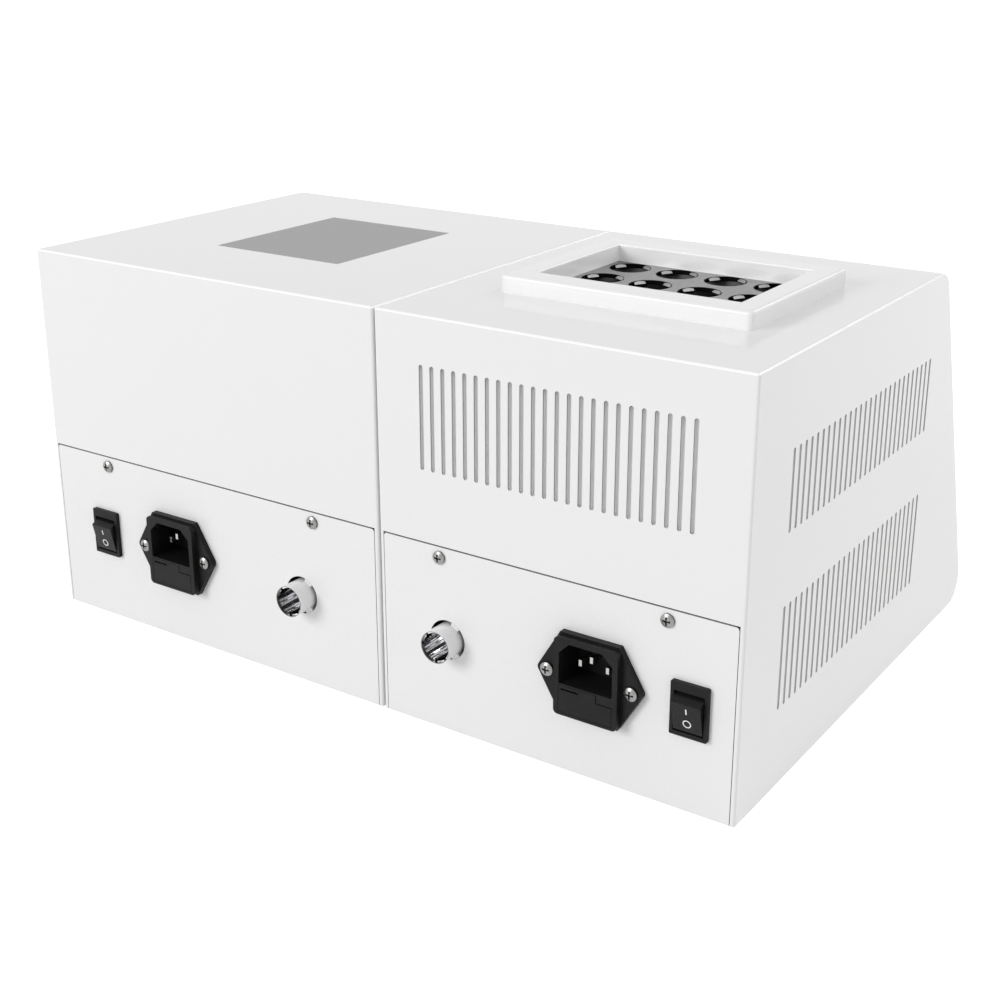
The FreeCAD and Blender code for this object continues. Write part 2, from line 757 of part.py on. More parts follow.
def make_covers():
    digester = cover_blank("digester")
    open_cover("digester", digester)
    cut_control_panel("digester", digester)
    hole = new_sketch(digester, "digester_cover_well_hole", "XY_Plane", "0", "-top_centre_depth",
                      "cover_height - wall - overcut")
    draw_rectangle(hole, "plate_width + 2 * plate_gap", "plate_depth + 2 * plate_gap")
    pocket(digester, "digester_cover_well_cut", hole, "wall + 2 * overcut", back=True)
    reader = cover_blank("reader")
    open_cover("reader", reader)
    cut_control_panel("reader", reader)
    hole = new_sketch(reader, "reader_cover_lid_hole", "XY_Plane", "-lid_aside", "-top_centre_depth",
                      "cover_height - wall - overcut")
    draw_rectangle(hole, "hole_width", "hole_depth")
    pocket(reader, "reader_cover_lid_cut", hole, "wall + 2 * overcut", back=True)
    groove = new_sketch(reader, "reader_cover_pin_groove", "YZ_Plane",
                        "lid_depth / 2 - hinge_radius - top_centre_depth", "cover_height - hinge_radius",
                        "-lid_aside")
    draw_circle(groove, "hinge_pin_radius + hinge_pin_gap")
    pocket(reader, "reader_cover_pin_cut", groove, "hole_width + 2 * hinge_pin_overhang", both=True)
    for unit, body in (("digester", digester), ("reader", reader)):
        for end in ("front", "rear"):
            for level in ("low", "high"):
                name = f"{unit}_cover_tie_{end}_{level}"
                spot = new_sketch(body, name, "YZ_Plane", f"-tie_{end}", "tie_" + level)
                draw_circle(spot, "tie_radius + screw_clearance")
                pocket(body, name + "_bore", spot, unit + "_width / 2 + overcut", back=unit == "digester")
        place(body, unit + "_mid", "rear_y", "foot_height")
        finish(body, unit + "_cover")
    cut_louvres(digester)


# Rear panels, base plates, feet and screws

def make_rear_panel(unit):
    name = unit + "_rear_panel"
    body = new_body(name)
    sheet_face = new_sketch(body, name + "_outline", "XY_Plane", "0", "(panel_height - panel_gap) / 2")
    draw_rectangle(sheet_face, f"{unit}_width - 2 * wall - 2 * panel_gap", "panel_height - panel_gap")
    pad(body, name + "_sheet", sheet_face, "panel_thickness", back=True)
    doc.recompute()
    highest = body.Shape.BoundBox.YMax
    round_edges(body, name + "_corners", "panel_corner",
                lambda edge: is_straight(edge, Z_AXIS) and middle(edge).y > highest - TINY)
    foot = new_sketch(body, name + "_foot", "XY_Plane", "0", "base_thickness + panel_thickness / 2")
    draw_rectangle(foot, f"{unit}_width - 2 * wall - 2 * boss_rear", "panel_thickness")
    pad(body, name + "_return", foot, "boss_rear / 2", back=True)
    for item in ("inlet", "switch", "port"):
        spot = new_sketch(body, f"{name}_{item}", "XY_Plane", along(unit, f"{unit}_{item}_side"),
                          item + "_height")
        if item == "inlet":
            draw_rectangle(spot, "inlet_tail_width + 2 * panel_gap", "inlet_tail_height + 2 * panel_gap")
        elif item == "switch":
            draw_rectangle(spot, "switch_body_width + 2 * panel_gap", "switch_body_height + 2 * panel_gap")
        else:
            draw_circle(spot, "port_hole_radius")
        pocket(body, f"{name}_{item}_opening", spot, "2 * (panel_thickness + overcut)", both=True)
    for end in ("far", "near"):
        spot = new_sketch(body, f"{name}_{end}_hole", "XY_Plane", along(unit, f"{unit}_{end}_screw_side"),
                          "panel_height - panel_screw_drop")
        draw_circle(spot, "screw_shank_radius + screw_clearance")
        pocket(body, f"{name}_{end}_bore", spot, "2 * (panel_thickness + overcut)", both=True)
    for hand in (-1, 1):
        x = f"{along(unit, unit + '_inlet_side')} + {hand} * inlet_screw_spacing / 2"
        spot = new_sketch(body, f"{name}_inlet_hole_{hand + 1}", "XY_Plane", x, "inlet_height")
        draw_circle(spot, "screw_shank_radius + screw_clearance")
        pocket(body, f"{name}_inlet_bore_{hand + 1}", spot, "2 * (panel_thickness + overcut)", both=True)
    place(body, unit + "_mid", "rear_y", "foot_height", REAR_TURN)
    finish(body, name)


def dome(name, drum):
    """The drum of a screw head, rounded over on top."""
    ball = doc.addObject("Part::Sphere", name + "_ball")
    bind(ball, "Radius", "dome_radius")
    place(ball, z="screw_head_height - dome_radius")
    head = doc.addObject("Part::MultiCommon", name + "_head")
    head.Shapes = [drum, ball]
    return head


def screw(name, domed=True):
    """A screw with a cross recess; its seat is at z = 0 and the shank runs down."""
    head = cylinder(name + "_drum", "screw_head_radius", "screw_head_height")
    if domed:
        head = dome(name, head)
    shank = cylinder(name + "_shank", "screw_shank_radius", "screw_shank_length", z="-screw_shank_length")
    arms = [box(f"{name}_arm_{across}_{deep}", across, deep, "recess_depth + overcut",
                z="screw_head_height - recess_depth")
            for across, deep in (("recess_span", "recess_width"), ("recess_width", "recess_span"))]
    return cut(name, join(name + "_blank", [head, shank]), [join(name + "_cross", arms)])


def make_screws():
    panel_screws = []
    inlet_screws = []
    base_screws = []
    for unit in UNITS:
        inlet_x = f"{unit}_mid - {along(unit, unit + '_inlet_side')}"
        for end in ("far", "near"):
            item = screw(f"{unit}_{end}_panel_screw")
            place_rear(item, unit, f"{unit}_{end}_screw_side", "panel_height - panel_screw_drop")
            panel_screws.append(item)
        for hand in (-1, 1):
            item = screw(f"{unit}_inlet_screw_{hand + 1}")
            place(item, f"{inlet_x} - {hand} * inlet_screw_spacing / 2",
                  "rear_y + flange_thickness", "foot_height + inlet_height", REAR_TURN)
            inlet_screws.append(item)
        for hand in (-1, 1):
            for end in ("boss_front", "boss_rear"):
                item = screw(f"{unit}_{end}_base_screw_{hand + 1}", domed=False)
                place(item, f"{unit}_mid + {hand} * ({unit}_width / 2 - wall - boss_size / 2)",
                      f"rear_y - {end}", "foot_height", Rotation(Vector(1, 0, 0), 180))
                base_screws.append(item)
    finish(group("panel_screws", panel_screws), "panel_screws")
    finish(group("inlet_screws", inlet_screws), "inlet_screws")
    finish(group("base_screws", base_screws), "base_screws")


def make_base_plate(unit):
    """A sheet between the cover's walls with holes for screws and foot plugs."""
    name = unit + "_base_plate"
    front = "(base_depth - nose_lip - base_gap)"
    rear = "(panel_thickness + base_gap)"
    width = f"{unit}_width - 2 * wall - 2 * base_gap"
    plate = box(name + "_sheet", width, f"{front} - {rear}", "base_thickness", y=f"-({front} + {rear}) / 2")
    holes = []
    for hand in (-1, 1):
        for end, radius, inset in (("boss_front", "screw_shank_radius", "wall + boss_size / 2"),
                                   ("boss_rear", "screw_shank_radius", "wall + boss_size / 2"),
                                   ("foot_front", "foot_plug_radius", "foot_inset"),
                                   ("foot_rear", "foot_plug_radius", "foot_inset")):
            holes.append(cylinder(f"{name}_{end}_hole_{hand + 1}", radius + " + screw_clearance",
                                  "base_thickness + 2 * overcut",
                                  f"{hand} * ({unit}_width / 2 - ({inset}))", "-" + end, "-overcut"))
    plate = cut(name, plate, holes)
    place(plate, unit + "_mid", "rear_y", "foot_height")
    finish(plate, name)


def make_feet():
    """Rubber feet, each a tapered pad with a plug pushed through the base plate."""
    feet = []
    for unit in UNITS:
        for hand in (-1, 1):
            for end in ("foot_front", "foot_rear"):
                name = f"{unit}_{end}_{hand + 1}"
                rubber = cone(name + "_pad", "foot_radius - foot_taper", "foot_radius", "foot_height")
                plug = cylinder(name + "_plug", "foot_plug_radius", "base_top_z + foot_plug_tip")
                foot = join(name, [rubber, plug])
                place(foot, f"{unit}_mid + {hand} * ({unit}_width / 2 - foot_inset)", f"rear_y - {end}", "0")
                feet.append(foot)
    finish(group("feet", feet), "feet")


# Mains inlet, fuse drawer and pins

def make_inlet(unit):
    name = unit + "_inlet"
    body = new_body(name)
    raised = new_sketch(body, name + "_raised", "XY_Plane")
    draw_rectangle(raised, "inlet_body_width", "inlet_body_height")
    pad(body, name + "_raised_body", raised, "inlet_face")
    round_edges(body, name + "_raised_corners", "inlet_body_corner", lambda edge: is_straight(edge, Z_AXIS))
    flange = new_sketch(body, name + "_flange", "XY_Plane")
    draw_hexagon(flange, "flange_reach", "flange_edge", "flange_height")
    pad(body, name + "_flange_plate", flange, "flange_thickness")
    round_edges(body, name + "_flange_tips", "flange_corner",
                lambda edge: is_straight(edge, Z_AXIS) and abs(middle(edge).y) < TINY)
    tail = new_sketch(body, name + "_tail", "XY_Plane")
    draw_rectangle(tail, "inlet_tail_width", "inlet_tail_height")
    pad(body, name + "_tail_box", tail, "inlet_tail_length", back=True)
    socket = new_sketch(body, name + "_socket", "XY_Plane", y="socket_rise", z="inlet_face")
    draw_socket(socket, "socket_width", "socket_height", "socket_chamfer")
    pocket(body, name + "_socket_hole", socket, "socket_depth")
    drawer = new_sketch(body, name + "_drawer", "XY_Plane", y="-drawer_drop", z="inlet_face")
    draw_rectangle(drawer, "drawer_width + 2 * drawer_gap", "drawer_height + 2 * drawer_gap")
    pocket(body, name + "_drawer_hole", drawer, "drawer_depth + overcut")
    step = new_sketch(body, name + "_step", "XY_Plane", "(drawer_width - drawer_step_width) / 2 + drawer_gap",
                      "(drawer_height - drawer_step_height) / 2 + drawer_gap - drawer_drop", "inlet_face")
    draw_rectangle(step, "drawer_step_width", "drawer_step_height")
    pad(body, name + "_step_block", step, "drawer_depth + overcut", back=True)
    for hand in (-1, 1):
        hole = new_sketch(body, f"{name}_hole_{hand + 1}", "XY_Plane", f"{hand} * inlet_screw_spacing / 2")
        draw_circle(hole, "screw_shank_radius + screw_clearance")
        pocket(body, f"{name}_bore_{hand + 1}", hole, "2 * (flange_thickness + overcut)", both=True)
    place_rear(body, unit, unit + "_inlet_side", "inlet_height")
    finish(body, name)


def make_inlet_pins(unit):
    """Three flat blades; the middle earth blade sits higher and reaches further out."""
    name = unit + "_inlet_pins"
    blades = []
    spots = (("-blade_spacing", "-live_drop", "0"), ("0", "earth_rise", "earth_lead"),
             ("blade_spacing", "-live_drop", "0"))
    for number, (x, y, lead) in enumerate(spots):
        blades.append(box(f"{name}_{number}", "blade_width", "blade_height", f"blade_length + {lead}",
                          x, f"socket_rise + {y}", "socket_floor"))
    pins = group(name, blades)
    place_rear(pins, unit, unit + "_inlet_side", "inlet_height")
    finish(pins, name)


def make_fuse_drawer(unit):
    """A stepped drawer with a finger slot in its face and a trough for the fuse."""
    name = unit + "_fuse_drawer"
    blank = box(name + "_blank", "drawer_width", "drawer_height", "drawer_depth",
                y="-drawer_drop", z="inlet_face - drawer_depth")
    step = box(name + "_step", "drawer_step_width + drawer_gap + overcut",
               "drawer_step_height + drawer_gap + overcut", "drawer_depth + 2 * overcut",
               "(drawer_width - drawer_step_width - drawer_gap + overcut) / 2",
               "(drawer_height - drawer_step_height - drawer_gap + overcut) / 2 - drawer_drop",
               "inlet_face - drawer_depth - overcut")
    slot = box(name + "_slot", "finger_slot_width", "finger_slot_height", "finger_slot_depth + overcut",
               "finger_slot_side + (finger_slot_width - drawer_width) / 2",
               "drawer_height / 2 - finger_slot_drop - drawer_drop", "inlet_face - finger_slot_depth")
    bed = "fuse_radius + fuse_gap"
    rise = f"(drawer_height - fuse_floor + {bed} - fuse_radius)"
    trough = box(name + "_trough", "fuse_length + 2 * fuse_gap", rise, f"2 * ({bed})", "0",
                 f"fuse_y - ({bed}) + {rise} / 2", f"inlet_face - fuse_inset - ({bed})")
    drawer = cut(name, blank, [join(name + "_tools", [step, slot, trough])])
    place_rear(drawer, unit, unit + "_inlet_side", "inlet_height")
    finish(drawer, name)
    fuse = cylinder(unit + "_fuse_tube", "fuse_radius", "fuse_length", "-fuse_length / 2", "fuse_y",
                    "inlet_face - fuse_inset", ALONG_X)
    fuse = group(unit + "_fuse", [fuse])
    place_rear(fuse, unit, unit + "_inlet_side", "inlet_height")
    finish(fuse, unit + "_fuse")


# Rocker switch

def make_switch(unit):
    name = unit + "_switch"
    body = new_body(name)
    bezel = new_sketch(body, name + "_bezel", "XY_Plane")
    draw_rectangle(bezel, "bezel_width", "bezel_height")
    pad(body, name + "_bezel_plate", bezel, "bezel_thickness")
    doc.recompute()
    round_edges(body, name + "_bezel_corners", "bezel_corner", lambda edge: is_straight(edge, Z_AXIS))
    housing = new_sketch(body, name + "_housing", "XY_Plane")
    draw_rectangle(housing, "switch_body_width", "switch_body_height")
    pad(body, name + "_housing_box", housing, "switch_body_length", back=True)
    mouth = new_sketch(body, name + "_mouth", "XY_Plane", y="(mouth_above - mouth_below) / 2",
                       z="bezel_thickness")
    draw_rectangle(mouth, "rocker_width + 2 * rocker_gap", "mouth_above + mouth_below")
    pocket(body, name + "_mouth_hole", mouth, "mouth_depth")
    axle = new_sketch(body, name + "_axle", "YZ_Plane", "0", "-pivot_depth")
    draw_circle(axle, "pivot_radius + pivot_gap")
    pocket(body, name + "_axle_bore", axle, "switch_body_width + overcut", both=True)
    place_rear(body, unit, unit + "_switch_side", "switch_height")
    finish(body, name)


def make_rocker(unit):
    """A rocker whose upper part is pressed in: toe below, ridge above the middle, heel recessed."""
    name = unit + "_rocker"
    body = new_body(name)
    side = new_sketch(body, name + "_side", "YZ_Plane", "0", "-pivot_depth")
    draw_outline(side, [(-9, 3.5), (4.2, 6.4), (7.3, 1), (7.3, -2), (-9, -2)])
    rule(side, "Horizontal", 3)
    rule(side, "Vertical", 4)
    rule(side, "Vertical", 2)
    measure(side, "toe_out", "rocker_toe_rise", "DistanceY", -1, 1, 0, 1, 3.5)
    measure(side, "toe_down", "rocker_toe_down", "DistanceX", 0, 1, -1, 1, 9)
    measure(side, "ridge_out", "rocker_ridge_rise", "DistanceY", -1, 1, 1, 1, 6.4)
    measure(side, "ridge_up", "rocker_ridge_up", "DistanceX", -1, 1, 1, 1, 4.2)
    measure(side, "heel_out", "rocker_heel_rise", "DistanceY", -1, 1, 2, 1, 1)
    measure(side, "heel_up", "rocker_heel_up", "DistanceX", -1, 1, 2, 1, 7.3)
    measure(side, "back", "rocker_back", "DistanceY", 3, 1, -1, 1, 2)
    pad(body, name + "_block", side, "rocker_width", both=True)
    axle = new_sketch(body, name + "_axle", "YZ_Plane", "0", "-pivot_depth")
    draw_circle(axle, "pivot_radius")
    pad(body, name + "_trunnions", axle, "switch_body_width - 2 * rocker_gap", both=True)
    place_rear(body, unit, unit + "_switch_side", "switch_height")
    finish(body, name)


# Round port

def wedge(name, radius, height, turn, z):
    thing = cylinder(name, radius, height, z=z, turn=Rotation(Vector(0, 0, 1), turn - SIZES["lug_angle"] / 2))
    bind(thing, "Angle", "lug_angle")
    return thing


def make_port(unit):
    """A white sleeve on three lugs in a wider panel hole, with a slotted chrome contact inside."""
    name = unit + "_port"
    tube = cylinder(name + "_tube", "port_radius", "port_reach + port_tail", z="-port_tail")
    lugs = []
    for number in range(count("lug_count")):
        turn = SIZES["lug_turn"] + FULL_TURN * number / count("lug_count")
        lugs.append(wedge(f"{name}_lug_{number}", "port_hole_radius - lug_gap", "panel_thickness", turn,
                          "-panel_thickness"))
        lugs.append(wedge(f"{name}_claw_{number}", "port_hole_radius + lug_overlap", "lug_thickness", turn,
                          "claw_z"))
    blank = join(name + "_sleeve_blank", [tube] + lugs)
    bore = cylinder(name + "_bore", "contact_radius", "port_reach + port_tail + 2 * overcut",
                    z="-port_tail - overcut")
    sleeve = cut(name + "_sleeve", blank, [bore])
    place_rear(sleeve, unit, unit + "_port_side", "port_height")
    finish(sleeve, name + "_sleeve")
    shell = cylinder(name + "_contact_shell", "contact_radius", "port_reach - contact_recess + port_tail",
                     z="-port_tail")
    bore = cylinder(name + "_contact_bore", "contact_radius - contact_wall",
                    "port_reach + port_tail", z="contact_floor - port_tail")
    tools = [bore]
    for number in range(count("contact_slot_count")):
        turn = FULL_TURN * number / count("contact_slot_count")
        slot = box(f"{name}_contact_slot_{number}", "contact_radius + overcut", "contact_slot",
                   "port_reach + port_tail", z="2 * contact_floor - port_tail")
        slot.Placement = Placement(Vector(), Rotation(Z_AXIS, turn))
        bind(slot, "Placement.Base.x", f"sin({turn} deg) * contact_slot / 2")
        bind(slot, "Placement.Base.y", f"-cos({turn} deg) * contact_slot / 2")
        bind(slot, "Placement.Base.z", "2 * contact_floor - port_tail")
        tools.append(slot)
    contact = cut(name + "_contact", shell, [join(name + "_contact_tools", tools)])
    place_rear(contact, unit, unit + "_port_side", "port_height")
    finish(contact, name + "_contact")


# Heated block, its jacket and the collar

def make_collar():
    """A raised frame with rounded outer corners and a softened upper edge."""
    body = new_body("collar")
    outline = new_sketch(body, "collar_outline", "XY_Plane")
    draw_rectangle(outline, "collar_width", "collar_depth")
    pad(body, "collar_slab", outline, "collar_height")
    round_edges(body, "collar_corners", "collar_corner", lambda edge: is_straight(edge, Z_AXIS))
    top = body.Shape.BoundBox.ZMax
    round_edges(body, "collar_rim", "collar_edge", lambda edge: edge.BoundBox.ZMin > top - TINY)
    opening = new_sketch(body, "collar_opening", "XY_Plane")
    draw_rectangle(opening, "opening_width", "opening_depth")
    pocket(body, "collar_mouth", opening, "collar_height + overcut", back=True)
    doc.recompute()
    reach = SIZES["opening_width"] / 2 + TINY
    round_edges(body, "collar_inner_rim", "opening_edge",
                lambda edge: edge.BoundBox.ZMin > top - TINY and abs(middle(edge).x) < reach
                and abs(edge.BoundBox.XMax) < reach and abs(edge.BoundBox.XMin) < reach
                and edge.BoundBox.YMax < SIZES["opening_depth"] / 2 + TINY
                and edge.BoundBox.YMin > -SIZES["opening_depth"] / 2 - TINY)
    place(body, "digester_mid", "top_centre_y", "top_z")
    finish(body, "collar")


def well_spots():
    """Formulas for the centre of each well, counted from the block's middle."""
    for column in range(count("well_columns")):
        for row_number in range(count("well_rows")):
            x = f"well_pitch_across * ({column} - (well_columns - 1) / 2)"
            y = f"well_pitch_deep * ({row_number} - (well_rows - 1) / 2)"
            yield f"{column}_{row_number}", x, y


def make_well_plate():
    """A plate with a round hole over each well and four spring tabs bent down into each hole."""
    sheet_blank = box("well_plate_sheet", "plate_width", "plate_depth", "wall", z="-wall")
    holes = [cylinder("well_plate_hole_" + spot, "plate_hole_radius", "wall + 2 * overcut", x, y,
                      "-wall - overcut")
             for spot, x, y in well_spots()]
    holed = cut("well_plate_holed", sheet_blank, holes)
    flat_inward = 3 * FULL_TURN / 4
    tabs = []
    for spot, x, y in well_spots():
        for number in range(count("tab_count")):
            turn = SIZES["tab_turn"] + FULL_TURN * number / count("tab_count")
            tab = doc.addObject("Part::Box", f"well_plate_tab_{spot}_{number}")
            bind(tab, "Length", "tab_thickness")
            bind(tab, "Width", "tab_width")
            bind(tab, "Height", "tab_length")
            lean = Rotation(Z_AXIS, turn).multiply(Rotation(Y_AXIS, flat_inward - SIZES["tab_lean"]))
            tab.Placement = Placement(Vector(), lean)
            side = lean.multVec(Y_AXIS)
            radial = lean.multVec(X_AXIS)
            reach = "(plate_hole_radius + tab_thickness)"
            bind(tab, "Placement.Base.x", f"{x} + {reach} * cos({turn} deg) - ({side.x:.6f}) * tab_width / 2")
            bind(tab, "Placement.Base.y", f"{y} + {reach} * sin({turn} deg) - ({side.y:.6f}) * tab_width / 2")
            bind(tab, "Placement.Base.z", f"-tab_thickness * {abs(radial.z):.6f}")
            tabs.append(tab)
    plate = join("well_plate", [holed] + tabs)
    place(plate, "digester_mid", "top_centre_y", "top_z")
    finish(plate, "well_plate")


def make_block():
    """An aluminium block with a blind well under each hole of the plate, and a probe hole below."""
    blank = box("heating_block_blank", "block_width", "block_depth", "block_height", z="-block_height")
    wells = [cylinder("heating_block_well_" + spot, "well_radius", "well_depth + overcut", x, y,
                      "-well_depth")
             for spot, x, y in well_spots()]
    probe = cylinder("heating_block_probe_hole", "probe_radius + probe_gap", "probe_depth + overcut",
                     "-block_width / 2 - overcut", "0", "probe_z - block_top_z", ALONG_X)
    block = cut("heating_block", blank, wells + [probe])
    place(block, "digester_mid", "top_centre_y", "block_top_z")
    finish(block, "heating_block")
    heater = box("heater_pad_sheet", "block_width", "block_depth", "heater_thickness")
    heater = group("heater_pad", [heater])
    place(heater, "digester_mid", "top_centre_y", "block_floor_z - heater_thickness")
    finish(heater, "heater_pad")


def make_jacket():
    """An open insulating box round the block; its rim carries the plate."""
    height = "under_top_z - jacket_floor_z"
    blank = box("jacket_blank", "jacket_width", "jacket_depth", height)
    hollow = box("jacket_hollow", "block_width + 2 * jacket_fit", "block_depth + 2 * jacket_fit", height,
                 z="jacket_wall")
    probe = cylinder("jacket_probe_hole", "probe_radius + probe_gap", "jacket_width / 2",
                     "-jacket_width / 2 - overcut", "0", "probe_z - jacket_floor_z", ALONG_X)
    cutout_y = "jacket_depth / 2 - cutout_thickness + cutout_proud"
    cutout_z = "jacket_wall + block_height / 2"
    seat = cylinder("jacket_cutout_seat", "cutout_radius + probe_gap", "cutout_thickness + overcut",
                    "0", cutout_y, cutout_z, ALONG_Y)
    jacket = cut("insulation_jacket", blank, [hollow, probe, seat])
    place(jacket, "digester_mid", "top_centre_y", "jacket_floor_z")
    finish(jacket, "insulation_jacket")
    disc = cylinder("cutout_disc", "cutout_radius", "cutout_thickness", "0", cutout_y, cutout_z, ALONG_Y)
    disc = group("thermal_cutout", [disc])
    place(disc, "digester_mid", "top_centre_y", "jacket_floor_z")
    finish(disc, "thermal_cutout")
    sensor = cylinder("probe_rod", "probe_radius", "probe_length",
                      "-block_width / 2 + probe_depth - probe_length", turn=ALONG_X)
    grip = cylinder("probe_grip", "grip_radius", "grip_length", "-jacket_width / 2 - grip_length",
                    turn=ALONG_X)
    sensor = join("temperature_probe", [sensor, grip])
    place(sensor, "digester_mid", "top_centre_y", "probe_z")
    finish(sensor, "temperature_probe")
    posts = []
    for hand in (-1, 1):
        for end in (-1, 1):
            posts.append(cylinder(f"standoff_{hand + 1}_{end + 1}", "standoff_radius",
                                  "jacket_floor_z - base_top_z",
                                  f"{hand} * (jacket_width / 2 - 2 * standoff_radius)",
                                  f"{end} * (jacket_depth / 2 - 2 * standoff_radius)"))
    posts = group("jacket_standoffs", posts)
    place(posts, "digester_mid", "top_centre_y", "base_top_z")
    finish(posts, "jacket_standoffs")


def make_dust_screen():
    """A light sheet folded round the rear corner, flat against the louvred walls."""
    side_low = "lower_slot_middle - lower_slot_length / 2 - screen_margin"
    high = "rear_slot_middle + rear_slot_length / 2 + screen_margin"
    side_run = "side_slot_start + side_slot_pitch * (side_slot_count - 1)"
    rear_low = "rear_slot_middle - rear_slot_length / 2 - screen_margin"
    rear_run = "rear_slot_pitch * (rear_slot_count - 1) / 2 + digester_width / 2 - wall + screen_margin"
    side = box("screen_side", "screen_thickness", f"{side_run} - wall", f"({high}) - ({side_low})",
               "wall + screen_thickness / 2 - digester_width / 2", f"-({side_run} + wall) / 2", side_low)
    rear = box("screen_rear", rear_run, "screen_thickness", f"({high}) - ({rear_low})",
               f"({rear_run}) / 2 + wall - digester_width / 2", "-wall - screen_thickness / 2", rear_low)
    screen = join("dust_screen", [side, rear])
    place(screen, "digester_mid", "rear_y", "foot_height")
    finish(screen, "dust_screen")


# Cell compartment, lid and optics

def draw_lid_side(sketch, depth, radius):
    """A level slab that ends in a half round about the origin at its rear."""
    quarter = 1.5707963267948966
    roll = Part.Circle(Vector(), Vector(0, 0, 1), 2)
    sketch.addGeometry(Part.ArcOfCircle(roll, -quarter, quarter), False)
    corners = [Vector(0, 2, 0), Vector(-80, 2, 0), Vector(-80, -2, 0), Vector(0, -2, 0)]
    for start, end in zip(corners, corners[1:]):
        sketch.addGeometry(Part.LineSegment(start, end), False)
    rule(sketch, "Coincident", 0, 3, -1, 1)
    rule(sketch, "Tangent", 0, 2, 1, 1)
    rule(sketch, "Coincident", 1, 2, 2, 1)
    rule(sketch, "Coincident", 2, 2, 3, 1)
    rule(sketch, "Tangent", 3, 2, 0, 1)
    rule(sketch, "Horizontal", 1)
    rule(sketch, "Horizontal", 3)
    rule(sketch, "Vertical", 2)
    measure(sketch, "roll", radius, "Radius", 0, 2)
    measure(sketch, "reach", f"({depth}) - ({radius})", "DistanceX", 2, 1, -1, 1, 80)


def make_lid():
    """A flush lid whose rear edge is rounded about its hinge pin."""
    body = new_body("cell_lid")
    side = new_sketch(body, "cell_lid_side", "YZ_Plane")
    draw_lid_side(side, "lid_depth", "hinge_radius")
    pad(body, "cell_lid_slab", side, "lid_width", both=True)
    bore = new_sketch(body, "cell_lid_pin_hole", "YZ_Plane")
    draw_circle(bore, "hinge_pin_radius + hinge_pin_gap")
    pocket(body, "cell_lid_pin_bore", bore, "lid_width + 2 * overcut", both=True)
    place(body, "lid_mid", "hinge_y", "hinge_z")
    finish(body, "cell_lid")
    pin = cylinder("lid_pin_rod", "hinge_pin_radius", "hole_width + 2 * (hinge_pin_overhang - lid_gap)",
                   "-hole_width / 2 - hinge_pin_overhang + lid_gap", "0", "0", ALONG_X)
    pin = group("lid_pin", [pin])
    place(pin, "lid_mid", "hinge_y", "hinge_z")
    finish(pin, "lid_pin")


def make_compartment():
    """A tray under the lid: a flange below the cover, a ledge for the lid and a floor with the vial hole."""
    height = "under_top_z - tray_floor_z + tray_wall"
    flange = box("tray_flange_plate", "hole_width + 2 * tray_flange", "hole_depth + 2 * tray_flange",
                 "lid_thickness + lid_rest_gap + tray_wall - wall", z="ledge_z - tray_wall")
    well = box("tray_well", "hole_width - 2 * tray_ledge + 2 * tray_wall",
               "hole_depth - 2 * tray_ledge + 2 * tray_wall", height, z="tray_floor_z - tray_wall")
    blank = join("tray_blank", [flange, well])
    seat = box("tray_seat", "hole_width", "hole_depth", "lid_thickness + overcut", z="ledge_z")
    inside = box("tray_inside", "hole_width - 2 * tray_ledge", "hole_depth - 2 * tray_ledge",
                 "tray_depth + overcut", z="tray_floor_z")
    vial = cylinder("tray_vial_hole", "vial_radius", "tray_wall + 2 * overcut",
                    z="tray_floor_z - tray_wall - overcut")
    pin = cylinder("tray_pin_groove", "hinge_pin_radius + hinge_pin_gap",
                   "hole_width + 2 * hinge_pin_overhang", "-hole_width / 2 - hinge_pin_overhang",
                   "lid_depth / 2 - hinge_radius", "hinge_z", ALONG_X)
    tray = cut("cell_compartment", blank, [join("tray_tools", [seat, inside, vial, pin])])
    place(tray, "lid_mid", "top_centre_y", "0")
    finish(tray, "cell_compartment")


def make_optics():
    """The vial holder under the tray with the lamp on one side and the detector on the other."""
    block = box("cell_holder_blank", "holder_size", "holder_size", "holder_height", z="-holder_height")
    vial = cylinder("cell_holder_vial", "vial_radius", "vial_depth + overcut", z="-vial_depth")
    beam = cylinder("cell_holder_beam", "window_radius", "holder_size + 2 * overcut",
                    "-holder_size / 2 - overcut", "0", "-beam_drop", ALONG_X)
    holder = cut("cell_holder", block, [join("cell_holder_tools", [vial, beam])])
    place(holder, "lid_mid", "top_centre_y", "tray_floor_z - tray_wall")
    finish(holder, "cell_holder")
    for hand, name, start in ((-1, "lamp_housing", "-(holder_size + optic_length) / 2"),
                              (1, "detector_housing", "holder_size / 2")):
        case = box(name + "_case", "optic_length", "optic_width", "optic_height",
                   f"{hand} * (holder_size + optic_length) / 2", "0", "-optic_height / 2")
        eye = cylinder(name + "_eye", "window_radius", "optic_length / 2", start, turn=ALONG_X)
        unit_case = cut(name, case, [eye])
        place(unit_case, "lid_mid", "top_centre_y", "tray_floor_z - tray_wall - beam_drop")
        finish(unit_case, name)


def make_latch():
    """A push latch under the lid's front edge: a housing on the tray wall and a sprung plunger."""
    y = "top_centre_y - hole_depth / 2 + tray_ledge + latch_length / 2"
    top = "ledge_z - plunger_travel - latch_drop"
    shell = box("latch_shell", "latch_width", "latch_length", f"({top}) - tray_floor_z", "0", "0",
                f"tray_floor_z - ({top})")
    bore = cylinder("latch_bore", "plunger_radius + plunger_gap", "plunger_length + plunger_travel + overcut",
                    z="-plunger_length - plunger_travel")
    latch = cut("lid_latch", shell, [bore])
    place(latch, "lid_mid", y, top)
    finish(latch, "lid_latch")
    rod = cylinder("plunger_rod", "plunger_radius", "plunger_length")
    rod = group("latch_plunger", [rod])
    place(rod, "lid_mid", y, "ledge_z - plunger_length")
    finish(rod, "latch_plunger")


# Control panel and boards

